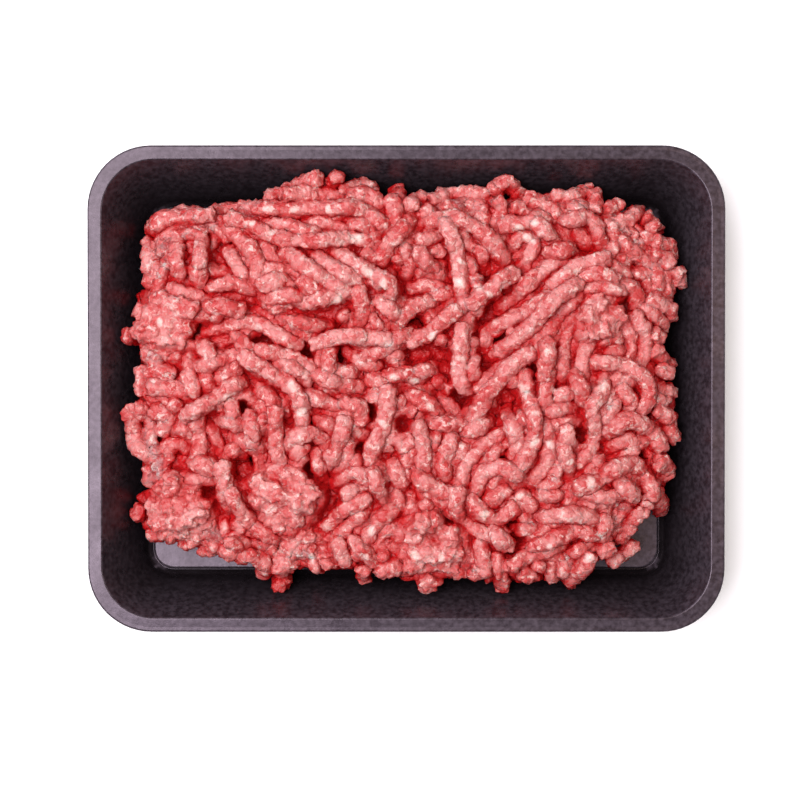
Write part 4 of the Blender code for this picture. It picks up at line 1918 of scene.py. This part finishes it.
    def dress(self, piece: bpy.types.Object, strands: list[Strand]) -> None:
        """Give a piece its attributes, smooth shading and place in the frame, once its shape is final.

        Args:
            piece: The piece.
            strands: The strands that it is made of, if any.
        """
        points = read_places(piece.data)
        normals = np.empty(len(points) * 3)
        piece.data.vertex_normals.foreach_get("vector", normals)
        # painted shade: places shut in, under strands, low in the heap or on steep sides get the gaps' red
        flank = np.clip(1 - normals[2::3], 0, 1.5) ** 2
        depth = np.clip(self.depth(points) + self.flank_painted_shade * flank, 0, 1)
        write_attribute(piece.data, "depth", depth)
        write_attribute(piece.data, "fat", self.fat(points))
        tones = self.tones(points, strands) if strands else np.zeros(len(points))
        write_attribute(piece.data, "tone", tones)
        make_active(piece)
        bpy.ops.object.shade_smooth()
        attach(piece, "root")
        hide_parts("mince_heap")

    def tones(self, points: np.ndarray, strands: list[Strand]) -> np.ndarray:
        """Return the tone of the strand nearest to each point.

        Args:
            points: Points, one row each.
            strands: The strands.

        Returns:
            One tone for each point.
        """
        places = np.vstack([strand.line for strand in strands])
        tones = np.concatenate([np.full(len(strand.line), strand.tone) for strand in strands])
        tree = KDTree(len(places))
        for i, place in enumerate(places):
            tree.insert(place, i)
        tree.balance()
        return np.array([tones[tree.find(point)[1]] for point in points])

    def depth(self, points: np.ndarray) -> np.ndarray:
        """Return the painted shade of points: how shut in they are, from 0 in the open to 1 down in a gap.

        Args:
            points: Points, one row each.

        Returns:
            One value for each point.
        """
        surface = self.surface
        shut = 1 - surface.at(points, self.open_sky)
        under = np.clip((surface.at(points, surface.heights) - points[:, 2]) / self.under_depth, 0, 1)
        below = surface.at(points, self.crown) - points[:, 2] - self.sunk_start
        sunk = np.clip(below / self.sunk_depth, 0, 1)
        depth = self.shut_share * shut + self.under_share * under + self.sunk_share * sunk * shut
        return np.clip(depth, 0, 1)

    def fat(self, points: np.ndarray) -> np.ndarray:
        """Return how much points belong to one of the bits of fat, from 0 to 1.

        Args:
            points: Points, one row each.

        Returns:
            One value for each point.
        """
        share = np.zeros(len(points))
        in_open = self.surface.at(points, self.surface.heights) - points[:, 2] < self.fat_depth
        draw = np.random.default_rng(len(FAT_BITS))
        for x, y, width in FAT_BITS:
            turn = draw.uniform(0, math.pi)
            east, north = points[:, 0] - x * MM, points[:, 1] - y * MM
            along = (east * math.cos(turn) + north * math.sin(turn)) / draw.uniform(*self.fat_length)
            across = north * math.cos(turn) - east * math.sin(turn)
            away = np.hypot(along, across) / (width * MM / 2)
            share = np.maximum(share, np.clip(self.fat_fade - away, 0, 1))
        return np.where(in_open, share, 0)


# ---------------------------------------------------------------- studio


@dataclass(frozen=True)
class SoftBox:
    """A square soft box that faces the tray."""

    name: str
    place: Point
    height: float
    width: float
    power: float  # watts
    colour: str


@dataclass
class Studio:
    """Pale floor, soft light from above and the left, and the camera over the tray."""

    tray_length: float
    rim_height: float
    tray_share: float = 0.7975  # of the view's width that the tray takes
    elevation: float = math.radians(90.7)  # a hair past straight above
    distance: float = 0.60
    aim: Point = (-2.2 * MM, -3.8 * MM)
    sensor: float = 36  # millimetres
    near: float = 0.01  # what is nearer to the camera than this isn't seen
    floor_size: float = 6
    floor_drop: float = 0.05 * MM  # below the tray's foot, so that the two faces don't coincide
    soft_boxes: tuple[SoftBox, ...] = (
        SoftBox("overhead", (-0.50, 0.12), 1.3, 0.95, 27.3, "#fffaff"),
        SoftBox("right", (0.9, 0.1), 0.7, 0.4, 2.0, "#fff0e4"),
        SoftBox("front_left", (-0.34, -0.30), 1.3, 0.4, 2.8, "#f4eeff"),
        SoftBox("top_right", (0.34, 0.06), 1.3, 0.4, 1.5, "#ffd9bb"),
        SoftBox("window", (-0.6, 0.6), 0.5, 0.3, 1.5, "#eee8ff"),
    )
    sky_colour: str = "#f4f2f6"
    sky_strength: float = 0.19

    def camera(self) -> None:
        """Set up the camera, which looks down on the tray."""
        data = bpy.data.cameras.new("camera")
        camera = add_object("camera", data)
        target = Vector((*self.aim, self.rim_height))
        away = Vector((0, -math.cos(self.elevation), math.sin(self.elevation)))
        camera.location = target + away * self.distance
        camera.rotation_euler = (math.pi / 2 - self.elevation, 0, 0)
        data.sensor_width = self.sensor
        data.angle = 2 * math.atan(self.tray_length / self.tray_share / 2 / self.distance)
        data.clip_start = self.near
        bpy.context.scene.camera = camera

    def floor(self) -> None:
        """Lay the pale floor."""
        deselect_all()
        bpy.ops.mesh.primitive_plane_add(size=self.floor_size, location=(0, 0, -self.floor_drop))
        floor = bpy.context.object
        floor.name = "studio_floor"
        floor.data.materials.append(PalePaper().build())

    def light(self) -> None:
        """Hang the soft boxes, each facing the tray, and light the room evenly."""
        for box in self.soft_boxes:
            data = bpy.data.lights.new(box.name, "AREA")
            data.shape = "SQUARE"
            data.size = box.width
            data.energy = box.power
            data.color = linear(box.colour)[:3]
            lamp = add_object(box.name, data)
            lamp.location = (*box.place, box.height)
            lamp.rotation_euler = lamp.location.to_track_quat("Z", "Y").to_euler()
            lamp.rotation_euler.rotate_axis("Z", math.radians(45))
        world = bpy.data.worlds.new("studio_world")
        world.use_nodes = True
        set_sockets(
            world.node_tree.nodes["Background"],
            {"Color": linear(self.sky_colour), "Strength": self.sky_strength},
        )
        bpy.context.scene.world = world
        bpy.context.scene.view_settings.view_transform = "Standard"


def main() -> None:
    """Build every piece in order and report it."""
    logging.basicConfig(level=logging.INFO, format="%(message)s")
    tray_low, tray_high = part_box("tray")
    heap_low, heap_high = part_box("mince_heap")
    studio = Studio(tray_high[0] - tray_low[0], tray_high[2])
    studio.camera()
    studio.light()
    studio.floor()

    foam_tray = FoamTray(tuple(tray_low), tuple(tray_high))
    tray = foam_tray.build()
    foam_tray.dress(tray, BlackFoam())

    mince = RawMince().build()
    heap = MinceHeap(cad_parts["mince_heap"], foam_tray, heap_low, heap_high)
    core = heap.build_core(mince)
    heap.heap_up(core)
    mesher = StrandMesher(heap.surface, heap.draw)
    made_of = {
        StrandPiece.LONG: [strand for strand in heap.shown if strand.length() > LONG_STRAND],
        StrandPiece.SHORT: [strand for strand in heap.shown if strand.length() <= LONG_STRAND],
        StrandPiece.SIDES: heap.sides,
        StrandPiece.BITS: heap.bits,
        StrandPiece.MASHED: heap.mashed,
    }
    pieces = [mesher.build(kind, strands, mince) for kind, strands in made_of.items()]
    mesher.dress(core, [])
    for piece in (tray, core, *pieces):
        LOG.info("%s: %d faces", piece.name, len(piece.data.polygons))


if __name__ == "__main__":
    main()
